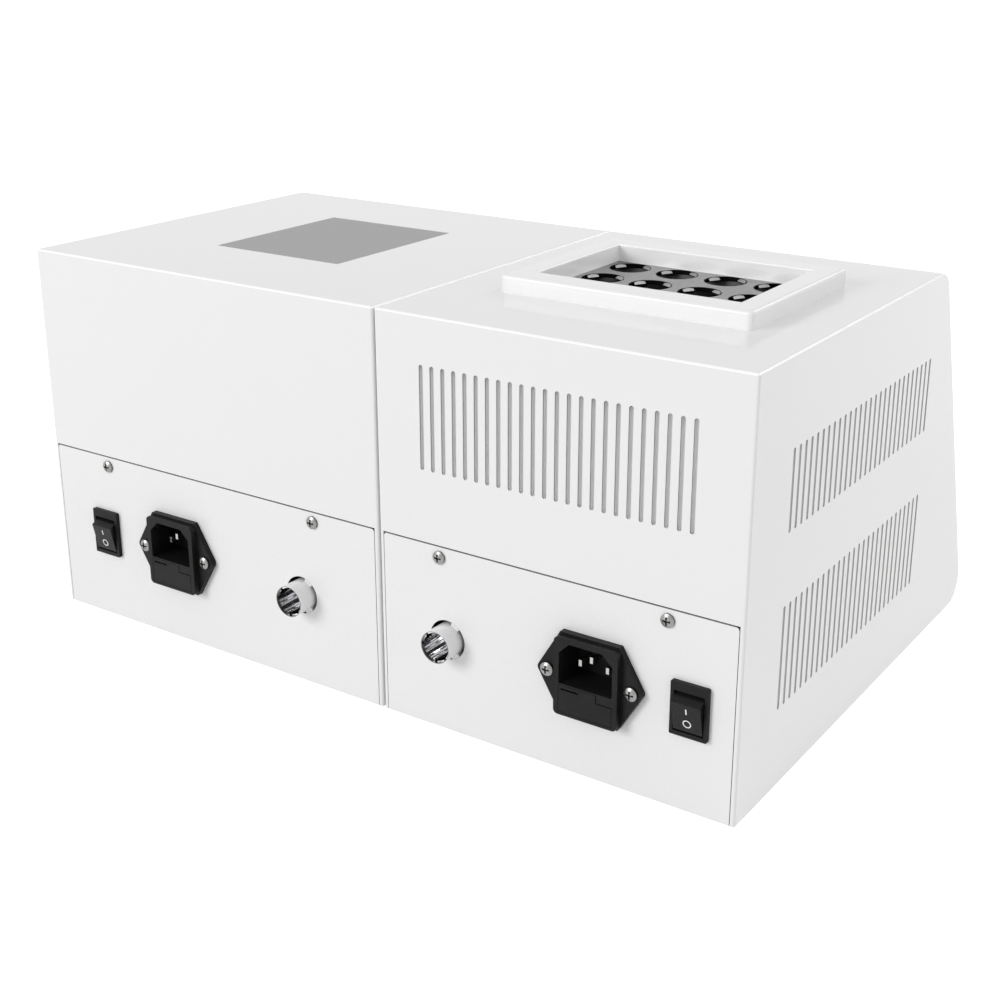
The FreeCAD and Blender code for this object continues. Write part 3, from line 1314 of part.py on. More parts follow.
def make_control_panel(unit):
    window = box(unit + "_window_pane", "window_width", "window_height", "window_thickness", "0",
                 "window_rise", "-window_thickness")
    window = place_front(group(unit + "_display_window", [window]), unit)
    finish(window, unit + "_display_window")
    board = box(unit + "_board_sheet", "board_width", "board_height", "board_thickness",
                "0", "panel_mid", "-board_setback - board_thickness")
    display = box(unit + "_display", "window_width - 2 * (window_rim + display_gap)",
                  "window_height - 2 * (window_rim + display_gap)",
                  "board_setback - window_thickness - display_gap", "0", "window_rise", "-board_setback")
    pillars = []
    for hand in (-1, 1):
        for end in (-1, 1):
            pillars.append(cylinder(f"{unit}_pillar_{hand + 1}_{end + 1}", "pillar_radius",
                                    "board_setback - wall",
                                    f"{hand} * (board_width / 2 - pillar_inset)",
                                    f"panel_mid + {end} * (board_height / 2 - pillar_inset)",
                                    "-board_setback"))
    board = place_front(join(unit + "_control_board", [board, display] + pillars), unit)
    finish(board, unit + "_control_board")
    for label, step in (("down", "-key_pitch"), ("up", "0"), ("start", "key_pitch")):
        name = f"{unit}_key_{label}"
        body = new_body(name)
        cap = new_sketch(body, name + "_cap", "XY_Plane", z="-wall - key_gap")
        draw_rectangle(cap, "key_width", "key_height")
        pad(body, name + "_cap_block", cap, "wall + key_gap + key_proud")
        round_edges(body, name + "_corners", "key_corner", lambda edge: is_straight(edge, Z_AXIS))
        flange = new_sketch(body, name + "_flange", "XY_Plane", z="-wall - key_gap")
        draw_rectangle(flange, "key_width + 2 * (key_gap + key_flange)",
                       "key_height + 2 * (key_gap + key_flange)")
        pad(body, name + "_flange_plate", flange, "key_flange_thickness", back=True)
        stem = new_sketch(body, name + "_stem", "XY_Plane", z="-wall - key_gap - key_flange_thickness")
        draw_rectangle(stem, "key_stem", "key_stem")
        pad(body, name + "_stem_post", stem,
            "board_setback - wall - key_gap - key_flange_thickness - key_travel - key_gap", back=True)
        place_front(body, unit, step)
        bind(body, "Placement.Base.y", "front_y - key_drop * lean / stretch")
        bind(body, "Placement.Base.z", "front_z - key_drop / stretch")
        finish(body, name)


def make_power_board(unit):
    name = unit + "_power_board"
    board = box(name + "_sheet", "power_width", "power_depth", "board_thickness", z="power_lift")
    top = "power_lift + board_thickness"
    transformer = box(name + "_transformer", "transformer_size", "transformer_size", "transformer_height",
                      "(transformer_size - power_width) / 2 + part_inset", "0", top)
    capacitor = cylinder(name + "_capacitor", "capacitor_radius", "capacitor_height",
                         "power_width / 2 - capacitor_radius - part_inset",
                         "power_depth / 2 - capacitor_radius - part_inset", top)
    relay = box(name + "_relay", "relay_width", "relay_depth", "relay_height",
                "(power_width - relay_width) / 2 - part_inset",
                "(relay_depth - power_depth) / 2 + part_inset", top)
    pillars = []
    for hand in (-1, 1):
        for end in (-1, 1):
            pillars.append(cylinder(f"{name}_pillar_{hand + 1}_{end + 1}", "pillar_radius", "power_lift",
                                    f"{hand} * (power_width / 2 - pillar_inset)",
                                    f"{end} * (power_depth / 2 - pillar_inset)"))
    board = join(name, [board, transformer, capacitor, relay] + pillars)
    place(board, unit + "_mid", "rear_y - power_front + power_depth / 2", "base_top_z")
    finish(board, name)


def hexagon(name, x):
    """A hexagonal bolt head or nut that lies along x."""
    thing = doc.addObject("Part::Prism", name)
    thing.Polygon = 6
    bind(thing, "Circumradius", "tie_head_radius")
    bind(thing, "Height", "tie_head")
    return place(thing, x, turn=ALONG_X)


def make_ties():
    """Hexagon bolts, nuts and washers through the two inner side walls."""
    bolts = []
    washers = []
    grip = "(2 * wall + unit_gap)"
    for end in ("front", "rear"):
        for level in ("low", "high"):
            name = f"tie_{end}_{level}"
            head = hexagon(name + "_head", "-tie_head")
            shank = cylinder(name + "_shank", "tie_radius", f"{grip} + 2 * tie_head", turn=ALONG_X)
            ring = hexagon(name + "_nut_ring", grip)
            bore = cylinder(name + "_nut_bore", "tie_radius + screw_clearance",
                            "tie_head + 2 * overcut", f"{grip} - overcut", turn=ALONG_X)
            spacer = cylinder(name + "_spacer", "tie_washer_radius", "unit_gap", "wall", turn=ALONG_X)
            eye = cylinder(name + "_eye", "tie_radius + screw_clearance", "unit_gap + 2 * overcut",
                           "wall - overcut", turn=ALONG_X)
            seat = ("case_width / 2 - reader_width - unit_gap - wall", f"rear_y - tie_{end}",
                    f"foot_height + tie_{level}")
            bolts.append(place(join(name + "_bolt", [head, shank]), *seat))
            bolts.append(place(cut(name + "_nut", ring, [bore]), *seat))
            washers.append(place(cut(name + "_washer", spacer, [eye]), *seat))
    finish(group("tie_bolts", bolts), "tie_bolts")
    finish(group("tie_washers", washers), "tie_washers")


def write_pieces():
    doc.recompute()
    for thing in doc.Objects:
        if "Invalid" in thing.State or "Error" in thing.State:
            raise RuntimeError(f"{thing.Label} failed: {thing.State}")
    for thing in pieces:
        shape = thing.Shape
        if shape.isNull() or not shape.isValid() or not shape.Solids:
            raise RuntimeError(thing.Label + " has no valid solid")
        shape.exportStep(f"parts/{thing.Label}.step")
        print(f"{thing.Label}: {len(shape.Solids)} solids, {shape.Volume / 1000:.2f} cm3")


make_covers()
for unit_name in UNITS:
    make_rear_panel(unit_name)
    make_base_plate(unit_name)
    make_inlet(unit_name)
    make_inlet_pins(unit_name)
    make_fuse_drawer(unit_name)
    make_switch(unit_name)
    make_rocker(unit_name)
    make_port(unit_name)
    make_control_panel(unit_name)
    make_power_board(unit_name)
make_screws()
make_feet()
make_collar()
make_well_plate()
make_block()
make_jacket()
make_dust_screen()
make_lid()
make_compartment()
make_optics()
make_latch()
make_ties()
write_pieces()
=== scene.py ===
import math

import bmesh
import bpy
from mathutils import Matrix, Vector


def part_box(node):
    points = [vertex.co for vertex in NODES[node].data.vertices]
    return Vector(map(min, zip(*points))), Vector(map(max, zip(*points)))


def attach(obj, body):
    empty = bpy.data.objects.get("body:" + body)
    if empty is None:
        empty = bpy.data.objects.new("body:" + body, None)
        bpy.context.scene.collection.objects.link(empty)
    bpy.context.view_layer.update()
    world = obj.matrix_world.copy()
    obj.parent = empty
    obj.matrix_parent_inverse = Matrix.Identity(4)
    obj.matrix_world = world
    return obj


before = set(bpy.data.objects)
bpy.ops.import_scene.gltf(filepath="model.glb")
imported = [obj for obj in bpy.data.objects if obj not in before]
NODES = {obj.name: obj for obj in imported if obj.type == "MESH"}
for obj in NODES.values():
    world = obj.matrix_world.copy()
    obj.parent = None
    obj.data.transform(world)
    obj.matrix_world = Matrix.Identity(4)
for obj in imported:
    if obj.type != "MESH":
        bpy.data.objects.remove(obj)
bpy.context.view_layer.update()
UNITS = ("digester", "reader")
MM = 0.001


# Building blocks for materials

def grey(level):
    return (level, level, level)


def new_material(name):
    """A material, its node tree and its shader."""
    material = bpy.data.materials.new(name)
    material.use_nodes = True
    tree = material.node_tree
    return material, tree, tree.nodes["Principled BSDF"]


def add_node(tree, kind, **inputs):
    """A new node with some inputs set; a space in an input's label is written as an underscore."""
    node = tree.nodes.new(kind)
    for label, value in inputs.items():
        node.inputs[label.replace("_", " ")].default_value = value
    return node


def place_of(tree):
    """Where a point lies on the object, in metres."""
    return tree.nodes.new("ShaderNodeTexCoord").outputs["Object"]


def axes_of(tree, vector):
    """The X, Y and Z parts of a vector."""
    split = tree.nodes.new("ShaderNodeSeparateXYZ")
    tree.links.new(vector, split.inputs["Vector"])
    return [split.outputs[axis] for axis in "XYZ"]


def facing_of(tree):
    """Which way the flat face under a point looks, as its X, Y and Z parts."""
    return axes_of(tree, tree.nodes.new("ShaderNodeNewGeometry").outputs["True Normal"])


def noise(tree, scale, detail=3.0, stretch=None):
    """Grain of a given number of grains per metre, stretched along an axis if asked."""
    texture = add_node(tree, "ShaderNodeTexNoise", Scale=scale, Detail=detail)
    spot = place_of(tree)
    if stretch:
        mapping = add_node(tree, "ShaderNodeMapping", Scale=stretch)
        tree.links.new(spot, mapping.inputs["Vector"])
        spot = mapping.outputs["Vector"]
    tree.links.new(spot, texture.inputs["Vector"])
    return texture.outputs["Fac"]


def spread(tree, value, low, high, start=0.3, end=0.7):
    """Turn a value that runs from start to end into one that runs from low to high."""
    ranged = add_node(tree, "ShaderNodeMapRange", From_Min=start, From_Max=end, To_Min=low, To_Max=high)
    tree.links.new(value, ranged.inputs["Value"])
    return ranged.outputs["Result"]


def rising(tree, value, start, end):
    """0 where a value is under start, 1 where it is over end, and evenly rising between them."""
    return spread(tree, value, 0.0, 1.0, start, end)


def combine(tree, kind, first, second):
    """Join two values by a kind of sum; each is a number or another node's output."""
    node = tree.nodes.new("ShaderNodeMath")
    node.operation = kind
    for slot, value in zip(node.inputs, (first, second)):
        if isinstance(value, (int, float)):
            slot.default_value = value
        else:
            tree.links.new(value, slot)
    return node.outputs["Value"]


def size_of(tree, value):
    """A value without its sign."""
    return combine(tree, "ABSOLUTE", value, 0.0)


def above(tree, value, limit):
    """1 where a value is over a limit, 0 elsewhere."""
    return combine(tree, "GREATER_THAN", value, limit)


def below(tree, value, limit):
    """1 where a value is under a limit, 0 elsewhere."""
    return combine(tree, "LESS_THAN", value, limit)


def between(tree, value, low, high):
    """1 where a value lies between two limits, 0 elsewhere."""
    return combine(tree, "MULTIPLY", above(tree, value, low), below(tree, value, high))


def any_of(tree, *values):
    """The largest of several values."""
    result = values[0]
    for value in values[1:]:
        result = combine(tree, "MAXIMUM", result, value)
    return result


def all_of(tree, *values):
    """The product of several values between 0 and 1."""
    result = values[0]
    for value in values[1:]:
        result = combine(tree, "MULTIPLY", result, value)
    return result


def blend_colours(tree, factor, first, second):
    """Mix two colours, each given as numbers or as another node's output."""
    mix = tree.nodes.new("ShaderNodeMix")
    mix.data_type = "RGBA"
    for label, colour in (("A", first), ("B", second)):
        if isinstance(colour, tuple):
            mix.inputs[label].default_value = (*colour, 1.0)
        else:
            tree.links.new(colour, mix.inputs[label])
    tree.links.new(factor, mix.inputs["Factor"])
    return mix.outputs["Result"]


def mottled(tree, levels, scale=38.0, detail=2.0):
    """A white or grey that drifts between two levels, in a given number of patches per metre."""
    darker, lighter = levels
    return blend_colours(tree, noise(tree, scale, detail=detail), grey(darker), grey(lighter))


def add_bump(tree, shader, height, strength, distance):
    """Make a shader's surface look raised by a height between 0 and 1."""
    bump = add_node(tree, "ShaderNodeBump", Strength=strength, Distance=distance)
    tree.links.new(height, bump.inputs["Height"])
    tree.links.new(bump.outputs["Normal"], shader.inputs["Normal"])


def coat(tree, shader, colour, grain, rough, relief, depth=0.03 * MM):
    """Give a shader its colour, a gloss that follows the grain, and a fine bump of the same grain."""
    least, most = rough
    tree.links.new(colour, shader.inputs["Base Color"])
    tree.links.new(spread(tree, grain, least, most), shader.inputs["Roughness"])
    add_bump(tree, shader, grain, relief, depth)


GRAINS_PER_PATCH = 40


def finish_of(name, colour, rough, metal=0.0, drift=0.03, rough_drift=0.05, grain=900.0, relief=0.05,
              depth=0.03 * MM, stretch=None, specular=0.5):
    """A solid finish with slight drift of colour and gloss and a fine surface grain."""
    material, tree, shader = new_material(name)
    patches = noise(tree, grain / GRAINS_PER_PATCH, detail=2.0, stretch=stretch)
    darker = tuple(channel * (1.0 - drift) for channel in colour)
    lighter = tuple(min(1.0, channel * (1.0 + drift)) for channel in colour)
    shade = blend_colours(tree, spread(tree, patches, 0.0, 1.0), darker, lighter)
    fine = noise(tree, grain, stretch=stretch)
    coat(tree, shader, shade, fine, (rough - rough_drift, rough + rough_drift), relief, depth)
    shader.inputs["Metallic"].default_value = metal
    shader.inputs["Specular IOR Level"].default_value = specular
    return material


# Materials of the covers, the collar and the rear panels

COVER_WHITE = (0.828, 0.834)
COLLAR_WHITE = (0.858, 0.864)
PANEL_WHITE = (0.826, 0.834)
# White of the painted highlight on the covers' upper edges and of the painted light on the collar's opening
# walls
HIGHLIGHT_WHITE = grey(0.98)
MOULDED_GRAIN = 1500.0
MOULDED_RELIEF = 0.02
MOULDED_DEPTH = 0.01 * MM

COVER_WALL = 2.0 * MM
COVER_SKIN = 0.02 * MM
LOUVRES_OVER = 95 * MM
# Painted shade in the louvre slots: how far its rims reach in from the surface, and how dark the rims and
# the ceilings are
RIM_START = 0.15 * MM
RIM_END = 1.0 * MM
REAR_RIM_SHADE = 0.85
SIDE_RIM_SHADE = 0.4
CEILING_SHADE = 0.85
# Width of the painted highlight along the upper edges
EDGE_BAND = 0.9 * MM
# Width of the collar's rim that the painted light on the opening leaves out
COLLAR_RIM = 5 * MM
# Painted shadow line along the top of the rear panel, where the gap to the cover is
PANEL_LINE = 0.4 * MM
PANEL_LINE_SHADE = 0.85

# How squarely a face looks along an axis, where 1 is fully along it and -1 fully against it
SQUARELY = 0.7
DOWNWARD = -0.5
UPWARD = 0.9
ALONG_PANEL = 0.3


def louvre_shade(tree, low, high, spot, facing):
    """How dark the painted shade in the slots is: rims on their side walls, and their ceilings."""
    x, y, z = spot
    across, back, upward = facing
    top = high.z - 2 * COVER_WALL
    in_rear = all_of(tree, between(tree, y, high.y - COVER_WALL - COVER_SKIN, high.y - COVER_SKIN),
                     between(tree, x, low.x + 2 * COVER_WALL, high.x - 2 * COVER_WALL),
                     between(tree, z, low.z + LOUVRES_OVER, top))
    in_side = all_of(tree, between(tree, x, low.x + COVER_SKIN, low.x + COVER_WALL + COVER_SKIN),
                     between(tree, z, low.z + 2 * COVER_WALL, top),
                     below(tree, y, high.y - 2 * COVER_WALL))
    from_rear = combine(tree, "SUBTRACT", high.y, y)
    from_side = combine(tree, "SUBTRACT", x, low.x)
    rear_rim = spread(tree, from_rear, REAR_RIM_SHADE, 0.0, RIM_START, RIM_END)
    side_rim = spread(tree, from_side, SIDE_RIM_SHADE, 0.0, RIM_START, RIM_END)
    crosswise = above(tree, size_of(tree, across), SQUARELY)
    lengthwise = above(tree, size_of(tree, back), SQUARELY)
    ceiling = combine(tree, "MULTIPLY", below(tree, upward, DOWNWARD), CEILING_SHADE)
    # Painted shade: dark rims in the slots and dark slot ceilings
    return any_of(tree, all_of(tree, in_rear, crosswise, rear_rim),
                  all_of(tree, in_side, lengthwise, side_rim),
                  all_of(tree, any_of(tree, in_rear, in_side), ceiling))


def painted_edge_highlight(tree, low, high, spot, facing):
    """1 in a narrow band along the upper edges, on the walls and on the top, where the painted highlight
    goes; 0 elsewhere.
    """
    x, y, z = spot
    upright = below(tree, facing[2], UPWARD)
    border = any_of(tree, above(tree, y, high.y - EDGE_BAND), below(tree, x, low.x + EDGE_BAND),
                    above(tree, x, high.x - EDGE_BAND))
    return all_of(tree, above(tree, z, high.z - EDGE_BAND), any_of(tree, upright, border))


def shell_finish(unit):
    """Glossy moulded white with a painted highlight along the upper edges and painted shade on the rims and
    ceilings of the louvres.
    """
    material, tree, shader = new_material(unit + "_moulded_white")
    low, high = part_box(unit + "_cover")
    spot = axes_of(tree, place_of(tree))
    facing = facing_of(tree)
    white = mottled(tree, COVER_WHITE)
    # Painted shade in the louvres, then a painted highlight along the upper edges
    shaded = blend_colours(tree, louvre_shade(tree, low, high, spot, facing), white, grey(0.02))
    colour = blend_colours(tree, painted_edge_highlight(tree, low, high, spot, facing), shaded, HIGHLIGHT_WHITE)
    coat(tree, shader, colour, noise(tree, MOULDED_GRAIN), rough=(0.08, 0.12), relief=MOULDED_RELIEF,
         depth=MOULDED_DEPTH)
    return material


def collar_finish():
    """Glossy moulded white, with painted light on the walls of the opening, which are coloured whiter to
    look brightly lit.
    """
    material, tree, shader = new_material("collar_white")
    low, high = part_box("collar")
    under_top = high.z - 0.05 * MM
    x, y, z = axes_of(tree, place_of(tree))
    in_opening = all_of(tree, between(tree, x, low.x + COLLAR_RIM, high.x - COLLAR_RIM),
                        between(tree, y, low.y + COLLAR_RIM, high.y - COLLAR_RIM),
                        below(tree, z, under_top))
    # Painted light: the opening's walls are coloured whiter to look brightly lit
    colour = blend_colours(tree, in_opening, mottled(tree, COLLAR_WHITE), HIGHLIGHT_WHITE)
    coat(tree, shader, colour, noise(tree, MOULDED_GRAIN), rough=(0.12, 0.16), relief=MOULDED_RELIEF,
         depth=MOULDED_DEPTH)
    return material


def sheet_finish():
    """Painted white sheet, with painted shade on its edges and a painted shadow line along its top, where
    the gap to the cover is.
    """
    material, tree, shader = new_material("painted_white")
    panel_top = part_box("digester_rear_panel")[1].z
    z = axes_of(tree, place_of(tree))[2]
    back = facing_of(tree)[1]
    # Painted shade on the edges and a painted shadow line along the top, standing in for the gap's shade
    shaded_edge = below(tree, size_of(tree, back), ALONG_PANEL)
    gap_shadow_line = combine(tree, "MULTIPLY", above(tree, z, panel_top - PANEL_LINE), PANEL_LINE_SHADE)
    white = mottled(tree, PANEL_WHITE, scale=62.0)
    colour = blend_colours(tree, any_of(tree, shaded_edge, gap_shadow_line), white, grey(0.05))
    coat(tree, shader, colour, noise(tree, scale=2500.0), rough=(0.26, 0.34), relief=0.05)
    return material


# Materials of the fittings and of what is inside

def screw_finish():
    """Brushed screw metal with painted shade in the cross recess."""
    material, tree, shader = new_material("screw_metal")
    fine = noise(tree, scale=4000.0)
    metal = blend_colours(tree, fine, (0.22, 0.22, 0.215), (0.32, 0.32, 0.31))
    # Painted shade: the cross recess goes dark where ambient occlusion finds it enclosed
    recess_occlusion = add_node(tree, "ShaderNodeAmbientOcclusion", Distance=1.2 * MM)
    recess_occlusion.samples = 8
    clear = rising(tree, recess_occlusion.outputs["AO"], start=0.55, end=0.85)
    colour = blend_colours(tree, clear, grey(0.02), metal)
    coat(tree, shader, colour, fine, rough=(0.26, 0.42), relief=0.1)
    shader.inputs["Metallic"].default_value = 1.0
    return material


def sleeve_finish(unit):
    """White plastic with a grey rim and black on the wall of the bore, told apart by the distance from the
    port's axis.
    """
    material, tree, shader = new_material(unit + "_sleeve_white")
    low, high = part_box(unit + "_port_contact")
    bore = (high.x - low.x) / 2
    axis = (-(low.x + high.x) / 2, 0, -(low.z + high.z) / 2)
    from_axis = add_node(tree, "ShaderNodeMapping", Location=axis, Scale=(1, 0, 1))
    tree.links.new(place_of(tree), from_axis.inputs["Vector"])
    length = tree.nodes.new("ShaderNodeVectorMath")
    length.operation = "LENGTH"
    tree.links.new(from_axis.outputs["Vector"], length.inputs[0])
    distance = length.outputs["Value"]
    past_bore_wall = rising(tree, distance, start=bore + 0.02 * MM, end=bore + 0.08 * MM)
    past_rim = rising(tree, distance, start=bore + 0.36 * MM, end=bore + 0.42 * MM)
    white = mottled(tree, (0.78, 0.82), scale=60.0, detail=3.0)
    rim = blend_colours(tree, past_rim, grey(0.3), white)
    colour = blend_colours(tree, past_bore_wall, grey(0.01), rim)
    coat(tree, shader, colour, noise(tree, scale=1800.0), rough=(0.16, 0.22), relief=0.05)
    return material


def plate_finish():
    """Dull spring sheet, with tabs in a lighter grey and painted shade, near black, on the hole walls and
    cut edges.
    """
    material, tree, shader = new_material("well_plate_sheet")
    upward = facing_of(tree)[2]
    grain = noise(tree, scale=1400.0, stretch=(1.0, 0.12, 1.0))
    sheet = blend_colours(tree, grain, (0.21, 0.21, 0.215), (0.27, 0.27, 0.275))
    tab_grey = blend_colours(tree, grain, grey(0.3), grey(0.38))
    on_sheet = rising(tree, upward, start=0.85, end=0.95)
    # Painted shade: faces turned away from up, the hole walls and cut edges, go near black
    on_top = rising(tree, upward, start=0.2, end=0.5)
    metal = blend_colours(tree, on_sheet, tab_grey, sheet)
    colour = blend_colours(tree, on_top, grey(0.008), metal)
    coat(tree, shader, colour, grain, rough=(0.3, 0.42), relief=0.08, depth=0.02 * MM)
    shader.inputs["Metallic"].default_value = 0.85
    return material


def mesh_finish():
    """Fine white woven filter mesh."""
    material, tree, shader = new_material("screen_mesh")
    spot = place_of(tree)
    threads = []
    for direction in ("X", "Z"):
        wave = add_node(tree, "ShaderNodeTexWave", Scale=600.0, Distortion=0.3)
        wave.bands_direction = direction
        tree.links.new(spot, wave.inputs["Vector"])
        threads.append(wave.outputs["Fac"])
    weave = all_of(tree, *threads)
    tree.links.new(blend_colours(tree, weave, grey(0.9), grey(0.98)), shader.inputs["Base Color"])
    add_bump(tree, shader, weave, strength=0.3, distance=0.1 * MM)
    shader.inputs["Roughness"].default_value = 0.7
    return material


def window_finish():
    """Dark tinted window with a slight haze."""
    material, tree, shader = new_material("tinted_window")
    tint = blend_colours(tree, noise(tree, scale=60.0), (0.015, 0.02, 0.018), (0.03, 0.036, 0.033))
    haze = spread(tree, noise(tree, scale=300.0), low=0.04, high=0.09)
    tree.links.new(tint, shader.inputs["Base Color"])
    tree.links.new(haze, shader.inputs["Roughness"])
    shader.inputs["Coat Weight"].default_value = 0.6
    return material


def board_finish():
    """Green circuit board with darker tracks."""
    material, tree, shader = new_material("circuit_board")
    tracks = add_node(tree, "ShaderNodeTexVoronoi", Scale=140.0)
    tracks.feature = "DISTANCE_TO_EDGE"
    tree.links.new(place_of(tree), tracks.inputs["Vector"])
    edge = rising(tree, tracks.outputs["Distance"], start=0.02, end=0.08)
    colour = blend_colours(tree, edge, (0.02, 0.16, 0.05), (0.01, 0.07, 0.03))
    tree.links.new(colour, shader.inputs["Base Color"])
    add_bump(tree, shader, edge, strength=0.2, distance=0.1 * MM)
    shader.inputs["Roughness"].default_value = 0.35
    return material


def glass_finish():
    """Clear glass with a slight haze."""
    material, tree, shader = new_material("fuse_glass_tube")
    haze = spread(tree, noise(tree, scale=500.0), low=0.02, high=0.08)
    tree.links.new(haze, shader.inputs["Roughness"])
    shader.inputs["Base Color"].default_value = (0.95, 0.97, 0.97, 1.0)
    shader.inputs["Transmission Weight"].default_value = 0.85
    return material


WASHER = finish_of("washer_white", grey(0.8), 0.4, drift=0.01, rough_drift=0.03, grain=1800.0)
BLACK = finish_of("moulded_black", (0.010, 0.010, 0.0105), 0.42, drift=0.2, rough_drift=0.07,
                  grain=3500.0, relief=0.12, specular=0.14)
BLACK_GLOSS = finish_of("rocker_black", (0.009, 0.009, 0.0095), 0.25, drift=0.15, rough_drift=0.05,
                        grain=2500.0, specular=0.16)
CHROME = finish_of("bright_chrome", (0.8, 0.8, 0.81), 0.08, metal=1.0, drift=0.03, rough_drift=0.03,
                   grain=2000.0, stretch=(1.0, 0.05, 1.0))
PINS = finish_of("pin_metal", (0.45, 0.445, 0.43), 0.22, metal=1.0, drift=0.05, grain=3000.0,
                 stretch=(1.0, 0.1, 1.0))
LID = finish_of("lid_grey", grey(0.4), 0.62, drift=0.008, rough_drift=0.03, grain=4000.0, relief=0.12,
                specular=0.2)
BLOCK = finish_of("block_dark", grey(0.012), 0.5, metal=0.3, drift=0.2, grain=1800.0,
                  stretch=(1.0, 1.0, 0.1), specular=0.2)
WOOL = finish_of("insulation_board", (0.16, 0.155, 0.15), 0.9, drift=0.15, grain=700.0, relief=0.6,
                 depth=0.4 * MM)
HEATER = finish_of("heater_sheet", (0.45, 0.12, 0.06), 0.7, drift=0.08, grain=1500.0, relief=0.3)
RUBBER = finish_of("foot_rubber", grey(0.03), 0.75, drift=0.15, grain=2500.0, relief=0.3)
ZINC = finish_of("zinc_sheet", (0.5, 0.5, 0.51), 0.38, metal=0.9, drift=0.12, grain=600.0, relief=0.05)
STEEL = finish_of("turned_steel", grey(0.58), 0.3, metal=1.0, drift=0.05, grain=2500.0,
                  stretch=(1.0, 1.0, 0.1))
KEYS = finish_of("key_grey", (0.2, 0.21, 0.23), 0.5, drift=0.05, grain=3000.0, relief=0.15)
TRAY = finish_of("tray_black", (0.02, 0.02, 0.021), 0.45, drift=0.15, grain=2500.0, relief=0.15)
MARK = finish_of("mark_white", grey(0.85), 0.4, drift=0.02, grain=4000.0)


def of_both(*names):
    """The nodes that both units have under the same names."""
    return tuple(f"{unit}_{name}" for unit in UNITS for name in names)


DRESS = {
    shell_finish("digester"): ("digester_cover",),
    shell_finish("reader"): ("reader_cover",),
    collar_finish(): ("collar",),
    sheet_finish(): of_both("rear_panel"),
    sleeve_finish("digester"): ("digester_port_sleeve",),
    sleeve_finish("reader"): ("reader_port_sleeve",),
    WASHER: ("tie_washers",),
    BLACK: of_both("inlet", "fuse_drawer", "switch"),
    BLACK_GLOSS: (*of_both("rocker"), "thermal_cutout"),
    CHROME: of_both("port_contact"),
    screw_finish(): ("panel_screws", "inlet_screws", "base_screws"),
    PINS: of_both("inlet_pins"),
    LID: ("cell_lid",),
    BLOCK: ("heating_block",),
    WOOL: ("insulation_jacket",),
    HEATER: ("heater_pad",),
    RUBBER: ("feet",),
    ZINC: of_both("base_plate"),
    STEEL: ("temperature_probe", "jacket_standoffs", "tie_bolts", "lid_pin", "latch_plunger"),
    KEYS: of_both("key_down", "key_up", "key_start"),
    TRAY: ("cell_compartment", "cell_holder", "lamp_housing", "detector_housing", "lid_latch"),
    plate_finish(): ("well_plate",),
    mesh_finish(): ("dust_screen",),
    window_finish(): of_both("display_window"),
    board_finish(): of_both("control_board", "power_board"),
    glass_finish(): of_both("fuse"),
}


def dress_nodes():
    """Give every CAD node the material that its name is listed under."""
    for material, names in DRESS.items():
        for name in names:
            for slot in NODES[name].material_slots:
                slot.material = material


# Marks on the rockers

MARK_HEIGHT = 0.06 * MM
MARK_LIFT = 0.005 * MM
STROKE_WIDTH = 0.6 * MM
STROKE_LENGTH = 2.7 * MM
STROKE_PLACE = 0.75
RING_OUTER = 1.88 * MM
RING_INNER = 1.4 * MM
RING_PLACE = 0.3
END_STEPS = 8
RING_STEPS = 40
TOE_REACH = 0.1 * MM


def add_object(name, data):
    """A new object in the scene."""
    holder = bpy.data.objects.new(name, data)
    bpy.context.scene.collection.objects.link(holder)
    return holder


def mesh_piece(name, mesh, material, body):
    """A piece made of a finished mesh that rides on a body."""
    data = bpy.data.meshes.new(name)
    mesh.to_mesh(data)
    mesh.free()
    data.materials.append(material)
    piece = add_object(name, data)
    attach(piece, body)
    return piece


def bar_mark(width, height, thickness):
    """A flat upright stroke with rounded ends, centred on the origin, facing +Z."""
    mesh = bmesh.new()
    radius = width / 2
    outline = []
    for end, start in ((1, 0), (-1, math.pi)):
        for step in range(END_STEPS + 1):
            angle = math.pi * step / END_STEPS + start
            x = radius * math.cos(angle)
            y = end * (height / 2 - radius) + radius * math.sin(angle)
            outline.append(mesh.verts.new((x, y, 0)))
    face = mesh.faces.new(outline)
    raised = bmesh.ops.extrude_face_region(mesh, geom=[face])
    moved = [item for item in raised["geom"] if isinstance(item, bmesh.types.BMVert)]
    bmesh.ops.translate(mesh, verts=moved, vec=(0, 0, thickness))
    return mesh


def ring_mark(outer, inner, thickness):
    """A flat ring, centred on the origin, facing +Z."""
    mesh = bmesh.new()
    angles = [2 * math.pi * step / RING_STEPS for step in range(RING_STEPS)]
    rims = []
    for radius, height in ((outer, 0), (inner, 0), (inner, thickness), (outer, thickness)):
        rims.append([mesh.verts.new((radius * math.cos(angle), radius * math.sin(angle), height))
                     for angle in angles])
    for first, second in zip(rims, rims[1:] + rims[:1]):
        for step in range(RING_STEPS):
            after = (step + 1) % RING_STEPS
            mesh.faces.new((first[step], first[after], second[after], second[step]))
    bmesh.ops.recalc_face_normals(mesh, faces=mesh.faces)
    return mesh


